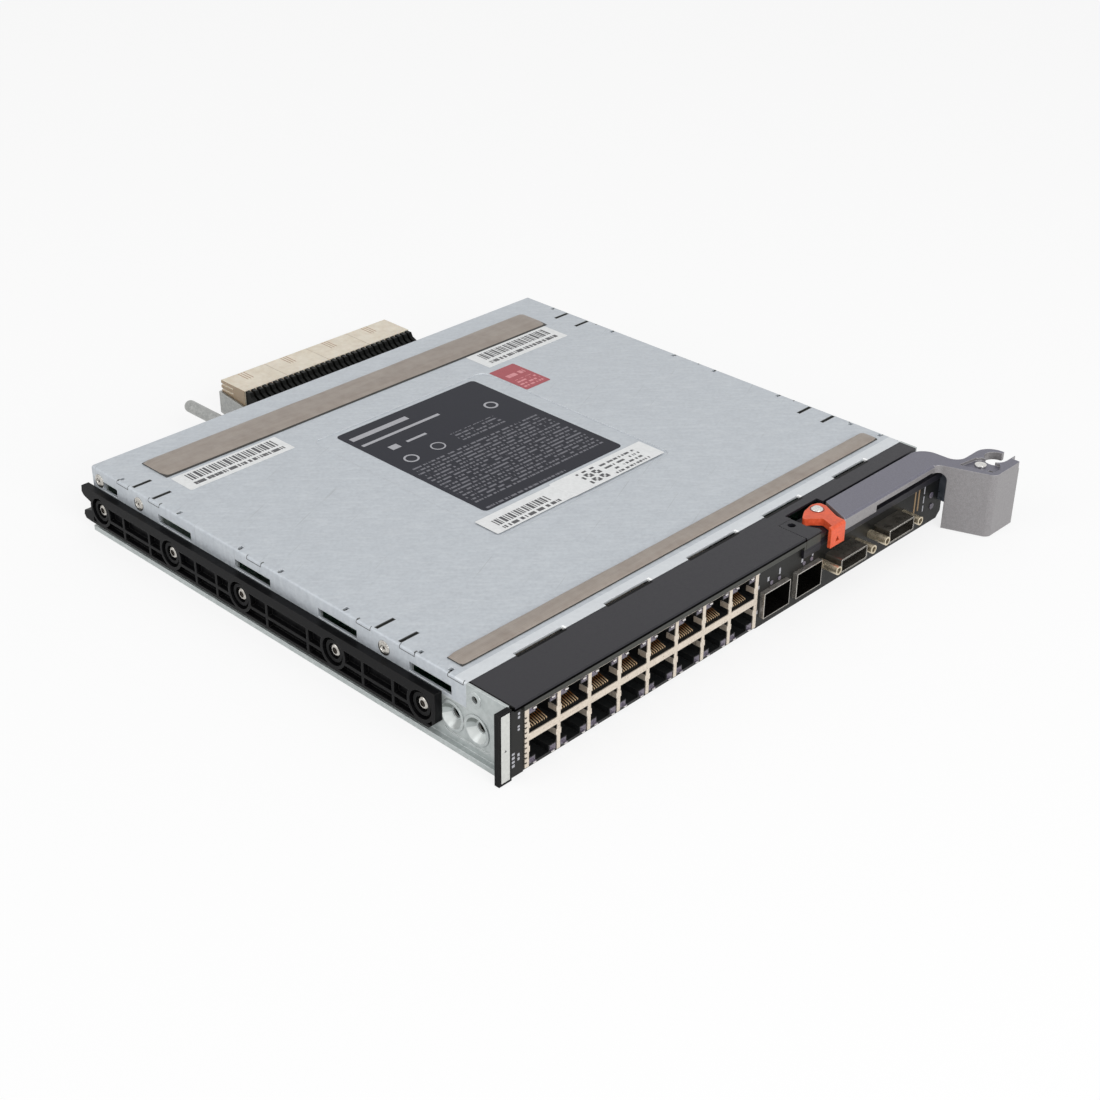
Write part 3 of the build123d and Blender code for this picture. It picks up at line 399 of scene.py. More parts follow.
# Hair lines: thin broken strokes along one direction of the sheet
hair_lines, given, result = new_group(
    "hair_lines",
    [("Angle", "NodeSocketFloat", 0.6), ("Scale", "NodeSocketFloat", 60.0),
     ("Stretch", "NodeSocketFloat", 30.0), ("Low", "NodeSocketFloat", 0.62)],
    [("Mask", "NodeSocketFloat")],
)
swing = add_node(
    hair_lines, "ShaderNodeVectorRotate", Vector=object_place(hair_lines),
    Angle=given["Angle"],
)
swing.rotation_type = "Z_AXIS"
x, y, z = split(hair_lines, swing.outputs["Vector"])
narrow = math_node(hair_lines, "MULTIPLY", y, given["Stretch"])
drawn = add_node(hair_lines, "ShaderNodeCombineXYZ", X=x, Y=narrow, Z=z)
strokes = add_node(
    hair_lines, "ShaderNodeTexNoise", Vector=drawn.outputs["Vector"], Scale=given["Scale"],
    Detail=3.0, Roughness=0.6,
)
cutoff = add_node(
    hair_lines, "ShaderNodeMapRange", Value=strokes.outputs["Fac"], From_Min=given["Low"],
    From_Max=0.75,
)
hair_lines.links.new(cutoff.outputs["Result"], result["Mask"])

lid_sheet, tree, shader, color = finish(
    "lid_sheet", 0.42, 0.35, lid_dark, lid_pale, 170.0, lid_edge, 0.6, bump=0.08
)
grain = use_group(tree, hair_lines, Angle=0.75, Scale=120.0, Stretch=5.0, Low=0.45)
grained = blend_colors(tree, scaled(tree, grain["Mask"], 0.16), color, lid_edge)
scratch = use_group(tree, hair_lines, Angle=-0.4, Scale=26.0, Stretch=45.0, Low=0.66)
scratched = blend_colors(tree, scaled(tree, scratch["Mask"], 0.35), grained, zinc_smudge)

# Hairline seams beside the windows, each with a hook over the bend, small relief holes and
# slots darkened on their walls and edges as painted shade. They are the same on both sides.
seam_low, seam_high, fold_low, lid_over = 25.1, 25.4, 26.3, 26.7
seam_runs = [
    (197.8, 204.7), (178.5, 185.1), (120.0, 127.7), (63.6, 70.4), (42.5, 49.5), (20.2, 27.2),
]
hooks = [204.3, 178.5, 120.0, 70.1, 42.7, 27.0]
relief_holes = [168.3, 132.8, 111.1, 77.3]
slot_places = [50.5, 61.9, 183.6, 195.8]
seam_ends = [y for run in seam_runs for y in run]


def lid_corner(inward, y, z):
    """A corner of a mark, by its distance in from the lid's left side."""
    return side_place(lid_left + inward, y, z)


spots = [
    (lid_corner(-0.2, start, seam_low), lid_corner(0.3, end, seam_high))
    for start, end in seam_runs
]
# Each kind: its places, half its length, its reach inward, and its lowest and highest part
for places, half, near, far, low_z, high_z in (
    (seam_ends, 0.15, -0.2, 0.9, seam_low, lid_over),
    (hooks, 0.3, 0.0, 1.5, fold_low, lid_over),
    (relief_holes, 0.5, 0.6, 1.9, fold_low, lid_over),
    (slot_places, 0.8, 1.0, 9.0, seam_high, lid_over),
):
    for y in places:
        low = lid_corner(near, y - half, low_z)
        spots.append((low, lid_corner(far, y + half, high_z)))

# The strip in front of the front seal is paler, and each notch in it ends in a painted
# highlight
front_strip = use_group(
    tree, box_spot, Low=place(0, 16.0, 25.9), High=place(face_width, 24.2, lid_over)
)
paled = blend_colors(tree, scaled(tree, front_strip["Mask"], 0.4), scratched, lid_edge)
front_notches = [(27.0, 49.3), (68.7, 91.0), (110.5, 137.1), (152.2, 173.5), (193.9, 214.3)]
# Painted highlight: a bright corner at the right end of each notch
notch_ends = [
    (place(right - 0.2, 18.9, 25.0), place(right + 0.8, 20.7, lid_over))
    for left, right in front_notches
]
paled = add_spots(tree, notch_ends, paled, notch_highlight)
# The seams and hooks are dark joints; the dark slot walls and edges are painted shade.
seamed_and_shaded = add_spots(tree, spots, paled, seam_and_shade_dark, middle=middle_x, mirror=1.0)
tree.links.new(seamed_and_shaded, shader.inputs["Base Color"])
coat(lid_sheet, "top_cover")

# Seals on the lid
# Two strips of foam are wrapped in taupe conductive cloth and glued across the lid.
# Each is crowned, thinner along its front edge, and pinched at its two cut ends.
taupe_dark = (0.235, 0.195, 0.165, 1)
taupe_pale = (0.315, 0.275, 0.24, 1)
crease_pale = (0.42, 0.37, 0.32, 1)
foot_shadow_dark = (0.02, 0.018, 0.015, 1)
foot_low, foot_high = 26.0, 27.05
crown_reach = 0.36
back_roll, back_drop = 0.1, 0.75
front_roll, front_drop = 0.06, 0.55
end_share = 0.45
wave, long_wave, short_wave = 0.05, 210, 83
bow_size, bow_turns = 0.00018, 9
seal_cloth, tree, shader = new_material("seal_cloth", 0.62, 0.0)
weave = []
for direction in ("X", "Y"):
    threads = add_node(
        tree, "ShaderNodeTexWave", Vector=object_place(tree), Scale=420.0, Distortion=0.6
    )
    threads.bands_direction = direction
    weave.append(threads.outputs["Fac"])
cloth_relief = math_node(tree, "MAXIMUM", *weave)
creases = use_group(tree, hair_lines, Angle=0.0, Scale=30.0, Stretch=14.0, Low=0.42)
cloud = use_group(tree, mottle, Scale=60.0, Low=0.3, High=0.7)
cloth_color = blend_colors(tree, cloud["Mask"], taupe_dark, taupe_pale)
creased = blend_colors(tree, scaled(tree, creases["Mask"], 0.35), cloth_color, crease_pale)
thread_shade = blend_colors(tree, scaled(tree, cloth_relief, 0.25), creased, taupe_dark)
# Painted shadow: a near-black band along the foot of each seal, just above the lid
foot_shadow = use_group(
    tree, box_spot, Low=place(0, 0, foot_low), High=place(face_width, body_depth, foot_high)
)
foot_shadowed = blend_colors(tree, foot_shadow["Mask"], thread_shade, foot_shadow_dark)
tree.links.new(foot_shadowed, shader.inputs["Base Color"])
shader.inputs["Sheen Weight"].default_value = 0.15
cloth_edge = use_group(
    tree, worked_edge, Height=cloth_relief, Radius=0.0003, Strength=0.35, Depth=0.00008
)
tree.links.new(cloth_edge["Normal"], shader.inputs["Normal"])


def add_box(name, low, high):
    """A box primitive at its size and place, its object at the origin."""
    bpy.ops.object.select_all(action="DESELECT")
    centre = (low + high) / 2
    bpy.ops.mesh.primitive_cube_add(size=1, location=centre, scale=high - low)
    bpy.ops.object.transform_apply(location=True, rotation=True, scale=True)
    piece = bpy.context.object
    piece.name = name
    return piece


def pick_edges(piece, axis):
    """Opens a piece for editing with the edges that run along one axis selected."""
    bpy.ops.object.mode_set(mode="EDIT")
    bpy.ops.mesh.select_mode(type="EDGE")
    bpy.ops.mesh.select_all(action="DESELECT")
    bpy.ops.object.mode_set(mode="OBJECT")
    corners = piece.data.vertices
    for edge in piece.data.edges:
        first, second = (corners[i].co for i in edge.vertices)
        span = second - first
        edge.select = abs(span[axis]) > span.length * 0.99
    bpy.ops.object.mode_set(mode="EDIT")


def add_seal(name, node, thin_share, pinch):
    """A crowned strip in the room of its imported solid."""
    low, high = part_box(node)
    piece = add_box(name, low, high)
    for axis, cuts in ((0, 90), (1, 14)):
        pick_edges(piece, axis)
        bpy.ops.mesh.subdivide(number_cuts=cuts)
        bpy.ops.object.mode_set(mode="OBJECT")
    depth = high.y - low.y
    length = high.x - low.x
    for corner in piece.data.vertices:
        across = (corner.co.y - low.y) / depth
        along = min(corner.co.x - low.x, high.x - corner.co.x)
        rise = thin_share + (1 - thin_share) * min(1, across / crown_reach)
        rise *= 1 - back_drop * max(0, (across - 1 + back_roll) / back_roll) ** 2
        rise *= 1 - front_drop * max(0, (front_roll - across) / front_roll) ** 2
        rise *= min(1, end_share + along / pinch)
        rise *= 1 - wave + wave * math.sin(along * long_wave) * math.cos(along * short_wave)
        if corner.co.z > (low.z + high.z) / 2:
            corner.co.z = low.z + (high.z - low.z) * rise
        bow = bow_size * math.sin((corner.co.x - low.x) / length * bow_turns)
        corner.co.y += bow * (across - 0.5)
    piece.data.materials.append(seal_cloth)
    bpy.ops.object.shade_smooth_by_angle(angle=math.radians(50))
    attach(piece, "chassis")
    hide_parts(node)


add_seal("back_seal_cloth", "back_seal", thin_share=0.42, pinch=0.004)
add_seal("front_seal_cloth", "front_seal", thin_share=0.6, pinch=0.003)

# Lid labels
# Thin printed film labels are stuck on the lid: a dark one in the pressed field, a red one,
# and four white ones. Their print is kept to plain bars, blocks and rows of small dashes.
glue, film, ink = 0.02, 0.08, 0.03
field_step = 0.3
white_paper = (0.78, 0.79, 0.79, 1)
dark_paper = (0.017, 0.018, 0.026, 1)
red_paper = (0.36, 0.05, 0.065, 1)
dark_ink = (0.06, 0.06, 0.065, 1)
pale_ink = (0.40, 0.40, 0.43, 1)
fine_ink = (0.16, 0.16, 0.18, 1)
red_ink = (0.62, 0.24, 0.26, 1)

# Print rows: lines of small dashes inside one area of a label
row_shift, ink_level = 17.3, 0.47
print_rows, given, result = new_group(
    "print_rows",
    [("Left", "NodeSocketFloat", 0.0), ("Right", "NodeSocketFloat", 0.0),
     ("Front", "NodeSocketFloat", 0.0), ("Back", "NodeSocketFloat", 0.0),
     ("Pitch", "NodeSocketFloat", 0.0027), ("Share", "NodeSocketFloat", 0.5),
     ("Dash", "NodeSocketFloat", 900.0)],
    [("Mask", "NodeSocketFloat")],
)
x, y = split(print_rows, object_place(print_rows))[:2]
inside = math_node(print_rows, "GREATER_THAN", x, given["Left"])
for operation, value, limit in (
    ("LESS_THAN", x, "Right"), ("GREATER_THAN", y, "Front"), ("LESS_THAN", y, "Back")
):
    side = math_node(print_rows, operation, value, given[limit])
    inside = math_node(print_rows, "MULTIPLY", inside, side)
from_front = math_node(print_rows, "SUBTRACT", y, given["Front"])
row = math_node(print_rows, "DIVIDE", from_front, given["Pitch"])
row_part = math_node(print_rows, "FRACT", row)
in_row = math_node(print_rows, "LESS_THAN", row_part, given["Share"])
row_number = math_node(print_rows, "FLOOR", row)
stretched = math_node(print_rows, "MULTIPLY", x, given["Dash"])
shifted = math_node(print_rows, "MULTIPLY", row_number, row_shift)
dash_place = add_node(print_rows, "ShaderNodeCombineXYZ", X=stretched, Y=shifted)
dashes = add_node(
    print_rows, "ShaderNodeTexNoise", Vector=dash_place.outputs["Vector"], Scale=1.0,
    Detail=1.0,
)
inked = math_node(print_rows, "GREATER_THAN", dashes.outputs["Fac"], ink_level)
printed = math_node(print_rows, "MULTIPLY", inside, in_row)
printed = math_node(print_rows, "MULTIPLY", printed, inked)
print_rows.links.new(printed, result["Mask"])


def add_film(name, area, base, corner_radius, material):
    """A label of film with rounded corners; area is its left, right, front and back edge."""
    left, right, front, back = area
    piece = add_box(name, place(left, front, base), place(right, back, base + film))
    pick_edges(piece, 2)
    bpy.ops.mesh.bevel(offset=corner_radius * mm, segments=4, affect="EDGES")
    bpy.ops.object.mode_set(mode="OBJECT")
    piece.data.materials.append(material)
    return piece


def add_print(area, base, material):
    """One printed block on a label."""
    left, right, front, back = area
    block = add_box("block", place(left, front, base), place(right, back, base + ink))
    block.data.materials.append(material)
    return block


def add_ring(x, y, base, radius, width, material):
    """One printed ring on a label."""
    bpy.ops.object.select_all(action="DESELECT")
    bpy.ops.mesh.primitive_circle_add(
        vertices=24, radius=radius * mm, fill_type="NGON", location=place(x, y, base + ink)
    )
    ring = bpy.context.object
    bpy.ops.object.transform_apply(location=True, rotation=True, scale=True)
    bpy.ops.object.mode_set(mode="EDIT")
    bpy.ops.mesh.select_all(action="SELECT")
    bpy.ops.mesh.inset(thickness=width * mm, depth=0)
    bpy.ops.mesh.delete(type="FACE")
    bpy.ops.object.mode_set(mode="OBJECT")
    ring.data.materials.append(material)
    thicken = ring.modifiers.new("thicken", "SOLIDIFY")
    thicken.thickness = ink * mm
    thicken.offset = -1
    bpy.ops.object.modifier_apply(modifier="thicken")
    return ring


def bind(piece, prints, body):
    """The prints become part of their piece, which rides on its body."""
    bpy.ops.object.select_all(action="DESELECT")
    for part in prints:
        part.select_set(True)
    piece.select_set(True)
    bpy.context.view_layer.objects.active = piece
    if prints:
        bpy.ops.object.join()
    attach(piece, body)


def paper(name, color, ink_color, rows, gloss=0.5):
    """A label's printed film; rows are areas with their pitch, share and dash size."""
    material, tree, shader = new_material(name, 0.45, 0.0)
    shader.inputs["Specular IOR Level"].default_value = gloss
    cloud = use_group(tree, mottle, Scale=180.0)["Mask"]
    soiled = tuple(0.9 * part for part in color[:3]) + (1,)
    surface = blend_colors(tree, cloud, soiled, color)
    for (left, right, front, back), pitch, share, dash in rows:
        low = place(left, front, 0)
        high = place(right, back, 0)
        lines = use_group(
            tree, print_rows, Left=low.x, Right=high.x, Front=low.y, Back=high.y,
            Pitch=pitch * mm, Share=share, Dash=dash,
        )
        surface = blend_colors(tree, lines["Mask"], surface, ink_color)
    tree.links.new(surface, shader.inputs["Base Color"])
    return material


def plain_ink(name, color):
    """Printing ink, very slightly uneven."""
    material, tree, shader = new_material(name, 0.5, 0.0)
    cloud = use_group(tree, mottle, Scale=900.0)["Mask"]
    thin = tuple(0.8 * part for part in color[:3]) + (1,)
    inked = blend_colors(tree, cloud, thin, color)
    tree.links.new(inked, shader.inputs["Base Color"])
    return material


black_ink = plain_ink("black_ink", dark_ink)
grey_ink = plain_ink("grey_ink", pale_ink)

# The dark label and its marks
field_floor = lid_top - field_step
dark_film = paper(
    "dark_film", dark_paper, fine_ink,
    [((87, 155, 99.4, 136.0), 2.3, 0.42, 900.0),
     ((118, 141, 138.6, 146.0), 2.3, 0.42, 900.0),
     ((87, 128, 93.4, 96.0), 2.7, 0.42, 900.0)],
    gloss=0.12,
)
dark_base = field_floor + glue
dark_label = add_film("dark_label", (85, 158.2, 92.3, 175.3), dark_base, 2.0, dark_film)
ink_base = dark_base + film
dark_marks = [
    (87.3, 116.0, 167.2, 170.0), (87.3, 127.0, 161.2, 162.8),
    (93.6, 97.8, 151.4, 154.8), (102.0, 112.0, 152.4, 153.8),
]
prints = [add_print(area, ink_base, grey_ink) for area in dark_marks]
for x, y, radius, width in (
    (94.0, 141.6, 3.1, 0.8), (108.0, 142.0, 3.1, 0.6), (147.3, 153.4, 3.0, 0.9),
):
    prints.append(add_ring(x, y, ink_base, radius, width, grey_ink))
bind(dark_label, prints, "chassis")

# The red label
red_film = paper(
    "red_film", red_paper, red_ink,
    [((169.0, 179.6, 165.6, 169.0), 3.4, 0.75, 600.0),
     ((168.6, 180.0, 155.0, 162.6), 2.4, 0.5, 700.0)],
)
red_area = (167.3, 181.2, 153.0, 175.0)
paper_base = lid_top + glue
bind(add_film("red_label", red_area, paper_base, 0.6, red_film), [], "chassis")

# The white labels: bars of several widths over a row of dashes
bar_widths = (0.5, 0.9, 0.4, 1.3, 0.5, 0.7, 1.1, 0.4, 0.9, 0.6)
bar_gaps = (0.6, 0.4, 0.9, 0.5, 0.7, 0.5, 0.8, 0.6)


def add_bars(left, right, front, back, base, material):
    """A run of upright bars whose widths and gaps follow two short patterns."""
    bars = []
    x = left
    index = 0
    while x < right:
        width = bar_widths[index % len(bar_widths)]
        bars.append(add_print((x, x + width, front, back), base, material))
        x += width + bar_gaps[index % len(bar_gaps)]
        index += 1
    return bars


white_labels = [
    ("white_label_left", (20.0, 68.3, 179.0, 191.6), (25.0, 64.5, 184.8, 190.2),
     ((24.0, 66.0, 181.2, 183.4), 3.0, 0.7, 900.0)),
    ("white_label_right", (171.3, 218.5, 178.8, 193.0), (176.0, 214.5, 185.4, 191.4),
     ((175.0, 215.0, 181.2, 183.6), 3.2, 0.7, 900.0)),
    ("serial_strip", (76.5, 116.5, 77.3, 89.2), (81.0, 107.5, 81.3, 85.5),
     ((81.0, 110.0, 78.3, 80.5), 2.6, 0.7, 700.0)),
]
for name, area, bars, rows in white_labels:
    film_material = paper(name + "_film", white_paper, dark_ink, [rows])
    label = add_film(name, area, paper_base, 0.5, film_material)
    prints = add_bars(*bars, paper_base + film, black_ink)
    bind(label, prints, "chassis")
code_film = paper(
    "code_film", white_paper, dark_ink,
    [((139.0, 158.0, 78.0, 88.6), 2.7, 0.45, 800.0)],
)
code_base = paper_base + film
code_label = add_film("code_label", (115.0, 164.8, 77.0, 90.0), code_base, 0.5, code_film)
code_left, code_front, code_cell, code_cells = 127.2, 78.8, 1.05, 9
prints = []
for column in range(code_cells):
    for line in range(code_cells):
        if (column * 7 + line * 5 + column * line * 3) % 4 < 2:
            x = code_left + column * code_cell
            y = code_front + line * code_cell
            area = (x, x + code_cell, y, y + code_cell)
            prints.append(add_print(area, code_base + film, black_ink))
bind(code_label, prints, "chassis")

# Side rails and their screws
# Each rail is a black moulding with ribs and ringed seats, held on the side wall by five
# domed screws. Three flatter screws above it hold the lid. Sliding has polished the ribs.
rail_dark = (0.002, 0.002, 0.0025, 1)
rail_pale = (0.006, 0.006, 0.0065, 1)
rail_rub = (0.05, 0.049, 0.048, 1)
turned_dark = (0.33, 0.31, 0.28, 1)
turned_pale = (0.62, 0.60, 0.56, 1)
shade_steel_dark = (0.05, 0.042, 0.035, 1)
shade_steel_pale = (0.12, 0.10, 0.085, 1)
shade_steel_edge = (0.4, 0.38, 0.35, 1)
rail_plastic, *_ = finish(
    "rail_plastic", 0.40, 0.0, rail_dark, rail_pale, 420.0, rail_rub, 0.7,
    radius=0.00025, bump=0.25, bump_depth=0.00005, specular=0.08,
)
coat(rail_plastic, "side_rail_left", "side_rail_right")
turned_steel, *_ = finish(
    "turned_steel", 0.20, 0.95, turned_dark, turned_pale, 400.0, bright_white, 0.5,
    radius=0.00015,
)
# A darker steel for painted shade in the screw recesses and round the heads
recess_shade_steel, *_ = finish(
    "recess_shade_steel", 0.35, 0.8, shade_steel_dark, shade_steel_pale, 400.0, shade_steel_edge, 0.4,
    radius=0.00015,
)


def add_screw_heads(name, node, spots, radius, rim, steps, recess, skirt):
    """Domed heads on both sides; each step insets the outer cap and raises or sinks it.
    Faces inside the recess radius and outside the skirt radius take a darker steel, painted
    shade."""
    x, y, z = spots[0]
    bpy.ops.object.select_all(action="DESELECT")
    bpy.ops.mesh.primitive_cylinder_add(
        vertices=32, radius=radius * mm, depth=rim * mm, rotation=(0, math.pi / 2, 0),
        location=place(x - rim / 2, y, z),
    )
    bpy.ops.object.transform_apply(location=True, rotation=True, scale=True)
    first = bpy.context.object
    bpy.ops.object.mode_set(mode="EDIT")
    bpy.ops.mesh.select_mode(type="FACE")
    bpy.ops.mesh.select_all(action="DESELECT")
    bpy.ops.object.mode_set(mode="OBJECT")
    for face in first.data.polygons:
        face.select = face.normal.x < -0.9
    bpy.ops.object.mode_set(mode="EDIT")
    for width, rise in steps:
        bpy.ops.mesh.inset(thickness=width * mm, depth=rise * mm)
    bpy.ops.object.mode_set(mode="OBJECT")
    bpy.ops.object.shade_smooth_by_angle(angle=math.radians(40))
    first.data.materials.append(turned_steel)
    first.data.materials.append(recess_shade_steel)
    heads = []
    start = place(x, y, z)
    corners = first.data.vertices
    for face in first.data.polygons:
        reach = [(corners[i].co - start).yz.length for i in face.vertices]
        # Painted shade: faces in the recess and outside the skirt take the darker steel
        in_shade = max(reach) < recess * mm or min(reach) > skirt * mm
        face.material_index = int(in_shade)
    for spot in spots:
        shift = Matrix.Translation(place(*spot) - start)
        turn = Matrix.Translation((2 * middle_x, 2 * place(*spot).y, 0))
        turn = turn @ Matrix.Rotation(math.pi, 4, "Z")
        for step in (shift, turn @ shift):
            head = first.copy()
            head.data = first.data.copy()
            head.data.transform(step)
            bpy.context.collection.objects.link(head)
            heads.append(head)
    bpy.data.objects.remove(first)
    piece = heads.pop()
    piece.name = name
    bind(piece, heads, "chassis")
    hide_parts(node)


rail_screw_spots = [(4.3, y, 11.2) for y in (36.8, 79.54, 129.34, 169.43, 213.4)]
add_screw_heads(
    "rail_screw_heads", "rail_screws", rail_screw_spots, radius=2.59, rim=0.3,
    steps=[(0.3, 0.35), (0.4, 0.3), (0.35, 0.15), (0.35, 0.0), (0.03, -0.7), (0.5, -0.1)],
    recess=1.35, skirt=2.5,
)
lid_screw_spots = [(lid_left, y, 21.8) for y in (57.0, 191.4, 216.5)]
add_screw_heads(
    "lid_screw_heads", "lid_screws", lid_screw_spots, radius=2.68, rim=0.2,
    steps=[(0.35, 0.2), (0.5, 0.15), (0.55, 0.03), (0.15, -0.3), (0.6, -0.1)],
    recess=0.85, skirt=3.0,
)

# Face panel, its black cover and the end cap
# The face is folded steel with a satin black coat, and its cover bends back over the top.
# The fold is a thin black line of painted shade over a paler lip of painted sheen, and the end
# cap holds a bright strip.
black_dark = (0.009, 0.0085, 0.012, 1)
black_pale = (0.014, 0.013, 0.018, 1)
black_rub = (0.075, 0.075, 0.072, 1)
lip_sheen_grey = (0.034, 0.035, 0.029, 1)
fold_shade_black = (0.001, 0.001, 0.001, 1)
panel_dark = (0.004, 0.004, 0.0035, 1)
panel_pale = (0.009, 0.009, 0.008, 1)
strip_dark = (0.54, 0.545, 0.52, 1)
strip_pale = (0.62, 0.63, 0.60, 1)
bar_brown = (0.26, 0.17, 0.085, 1)
lip_low, lip_high, fold_high, cover_over, cover_ahead = 22.0, 25.3, 25.85, 26.5, -3.0
cap_right, cap_back, cap_shade_low = 7.0, 19.5, 24.0
notch_front, notch_back = 17.9, 20.6
satin_black, tree, shader, color = finish(
    "satin_black", 0.42, 0.0, black_dark, black_pale, 600.0, black_rub, 0.45,
    radius=0.00025, bump=0.12, bump_depth=0.00004, specular=0.35,
)
# Painted sheen: the lip below the fold is painted a paler grey
lip_sheen_spot = (place(0, cover_ahead, lip_low), place(face_width, -0.05, lip_high))
sheen_lipped = add_spots(tree, [lip_sheen_spot], color, lip_sheen_grey)
# Painted shade: black strips along the fold, at the left end beside the cap and in the notches
painted_shade_strips = [
    (place(0, cover_ahead, lip_high), place(face_width, -0.45, fold_high)),
    (place(0, cover_ahead, cap_shade_low), place(cap_right, cap_back, cover_over)),
]
for left, right in front_notches:
    low = place(left, notch_front, 20.0)
    painted_shade_strips.append((low, place(right, notch_back, cover_over)))
shade = 0.0
for low, high in painted_shade_strips:
    shade_spot = use_group(tree, box_spot, Low=low, High=high)
    shade = math_node(tree, "MAXIMUM", shade, shade_spot["Mask"])
folded = blend_colors(tree, shade, sheen_lipped, fold_shade_black)
tree.links.new(folded, shader.inputs["Base Color"])
tree.links.new(shade, shader.inputs["Metallic"])
coat(satin_black, "front_cover", "latch_bracket")
panel_black, *_ = finish(
    "panel_black", 0.45, 0.0, panel_dark, panel_pale, 600.0, black_rub, 0.4,
    radius=0.00025, bump=0.12, bump_depth=0.00004, specular=0.25,
)
coat(panel_black, "front_panel")
coat(rail_plastic, "end_cap")
strip_silver, *_ = finish(
    "strip_silver", 0.38, 0.5, strip_dark, strip_pale, 260.0, bright_white, 0.4
)
coat(strip_silver, "end_strip")

# A small dark triangle on the strip
arrow_spot, arrow_radius = (2.8, -0.87, 12.4), 0.6
bpy.ops.object.select_all(action="DESELECT")
bpy.ops.mesh.primitive_circle_add(
    vertices=3, radius=arrow_radius * mm, fill_type="NGON", rotation=(math.pi / 2, 0, 0),
    location=place(*arrow_spot),
)
strip_arrow = bpy.context.object
strip_arrow.name = "strip_arrow"
bpy.ops.object.transform_apply(location=True, rotation=True, scale=True)
strip_arrow.data.materials.append(black_ink)
bind(strip_arrow, [], "chassis")

# Pale printed marks on the face, as plain dashes: their left, right, low and high edges
face_marks = [
    (8.9, 9.8, 22.3, 23.2), (8.9, 9.8, 20.9, 21.8), (8.8, 9.7, 16.5, 17.3),
    (8.8, 9.7, 17.7, 18.4), (8.7, 9.6, 5.4, 6.4), (8.7, 9.6, 6.9, 8.0),
    (6.3, 7.5, 3.7, 4.7), (6.3, 7.5, 5.3, 6.1), (6.3, 7.5, 6.7, 7.7), (6.3, 7.5, 8.3, 9.1),
    (125.4, 126.4, 21.8, 23.4), (125.4, 126.5, 15.9, 17.3), (125.5, 126.5, 5.8, 7.2),
    (130.9, 131.9, 17.0, 18.6), (137.4, 138.2, 17.2, 19.6), (150.2, 151.2, 16.4, 18.0),
    (156.4, 157.2, 16.6, 19.2),
    (226.8, 227.4, 6.8, 9.4), (226.8, 227.4, 10.4, 13.4), (226.8, 227.4, 14.4, 18.6),
]
face_bars = [(220.6, 221.5, 8.5, 18.5), (223.0, 223.9, 8.5, 18.5)]
brown_ink = plain_ink("brown_ink", bar_brown)
mark_front = -0.03
prints = []
for areas, mark_ink in ((face_bars, brown_ink), (face_marks, grey_ink)):
    for left, right, low, high in areas:
        block = add_box("block", place(left, mark_front, low), place(right, 0.0, high))
        block.data.materials.append(mark_ink)
        prints.append(block)
face_print = prints.pop()
face_print.name = "face_print"
bind(face_print, prints, "chassis")

# Jack block
# Sixteen network jacks stand in two rows in a black moulded body inside a tin plated shield.
# The shield shows as a warm bright grid, and eight gold plated wires slant across each jack.
# The wires are painted darker further in and on their sides, as painted shade.
tin_dark = (0.60, 0.52, 0.43, 1)
tin_pale = (0.74, 0.66, 0.56, 1)
tin_edge = (0.90, 0.87, 0.80, 1)
socket_dark = (0.006, 0.0065, 0.007, 1)
socket_pale = (0.014, 0.015, 0.015, 1)
socket_edge = (0.05, 0.05, 0.05, 1)
gold_dark = (0.90, 0.60, 0.34, 1)
gold_pale = (0.98, 0.74, 0.48, 1)
gold_edge = (1.0, 0.84, 0.56, 1)
wire_depth_shade = (0.17, 0.07, 0.022, 1)
wire_shade = (0.02, 0.01, 0.004, 1)
wire_front, wire_back = 1.8, 4.2
lens_dark = (0.10, 0.085, 0.12, 1)
lens_pale = (0.19, 0.165, 0.21, 1)
lens_edge = (0.45, 0.42, 0.46, 1)
nose_highlight_white = (0.80, 0.77, 0.74, 1)
nose_deep, nose_high = 0.3, 0.4
tin_plate, *_ = finish(
    "tin_plate", 0.34, 0.55, tin_dark, tin_pale, 300.0, tin_edge, 0.5, radius=0.00015
)
coat(tin_plate, "jack_shield")
jack_black, *_ = finish(
    "jack_black", 0.36, 0.0, socket_dark, socket_pale, 500.0, socket_edge, 0.4,
    radius=0.0002, specular=0.3,
)
coat(jack_black, "jack_body", "cage_sockets")
gold_wire, tree, shader, color = finish(
    "gold_wire", 0.30, 0.5, gold_dark, gold_pale, 120.0, gold_edge, 0.6, radius=0.0001
)
# Painted shade: the wires darken further into the socket, and their sides go near-black
sideways = math_node(tree, "ABSOLUTE", split(tree, face_turn(tree))["X"])
wire_side = math_node(tree, "GREATER_THAN", sideways, 0.6)
inward = add_node(
    tree, "ShaderNodeMapRange", Value=split(tree, object_place(tree))["Y"],
    From_Min=place(0, wire_front, 0).y, From_Max=place(0, wire_back, 0).y,
)
shaded = blend_colors(tree, inward.outputs["Result"], color, wire_depth_shade)
side_shaded = blend_colors(tree, wire_side, shaded, wire_shade)
tree.links.new(side_shaded, shader.inputs["Base Color"])
coat(gold_wire, "jack_contacts")
clear_lens, tree, shader, color = finish(
    "clear_lens", 0.14, 0.0, lens_dark, lens_pale, 500.0, lens_edge, 0.4, radius=0.0002
)
lens_low, lens_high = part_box("jack_lights")
# Painted highlights: white bands along the top and bottom of each lens's front
nose_highlight_spots = []
for low_z, high_z in (
    (lens_low.z - mm, lens_low.z + nose_high * mm),
    (lens_high.z - nose_high * mm, lens_high.z + mm),
):
    low = Vector((lens_low.x - mm, lens_low.y - mm, low_z))
    high = Vector((lens_high.x + mm, lens_low.y + nose_deep * mm, high_z))
    nose_highlight_spots.append((low, high))
nose_highlighted = add_spots(tree, nose_highlight_spots, color, nose_highlight_white)
tree.links.new(nose_highlighted, shader.inputs["Base Color"])
shader.inputs["Transmission Weight"].default_value = 0.2
coat(clear_lens, "jack_lights", "status_lights")
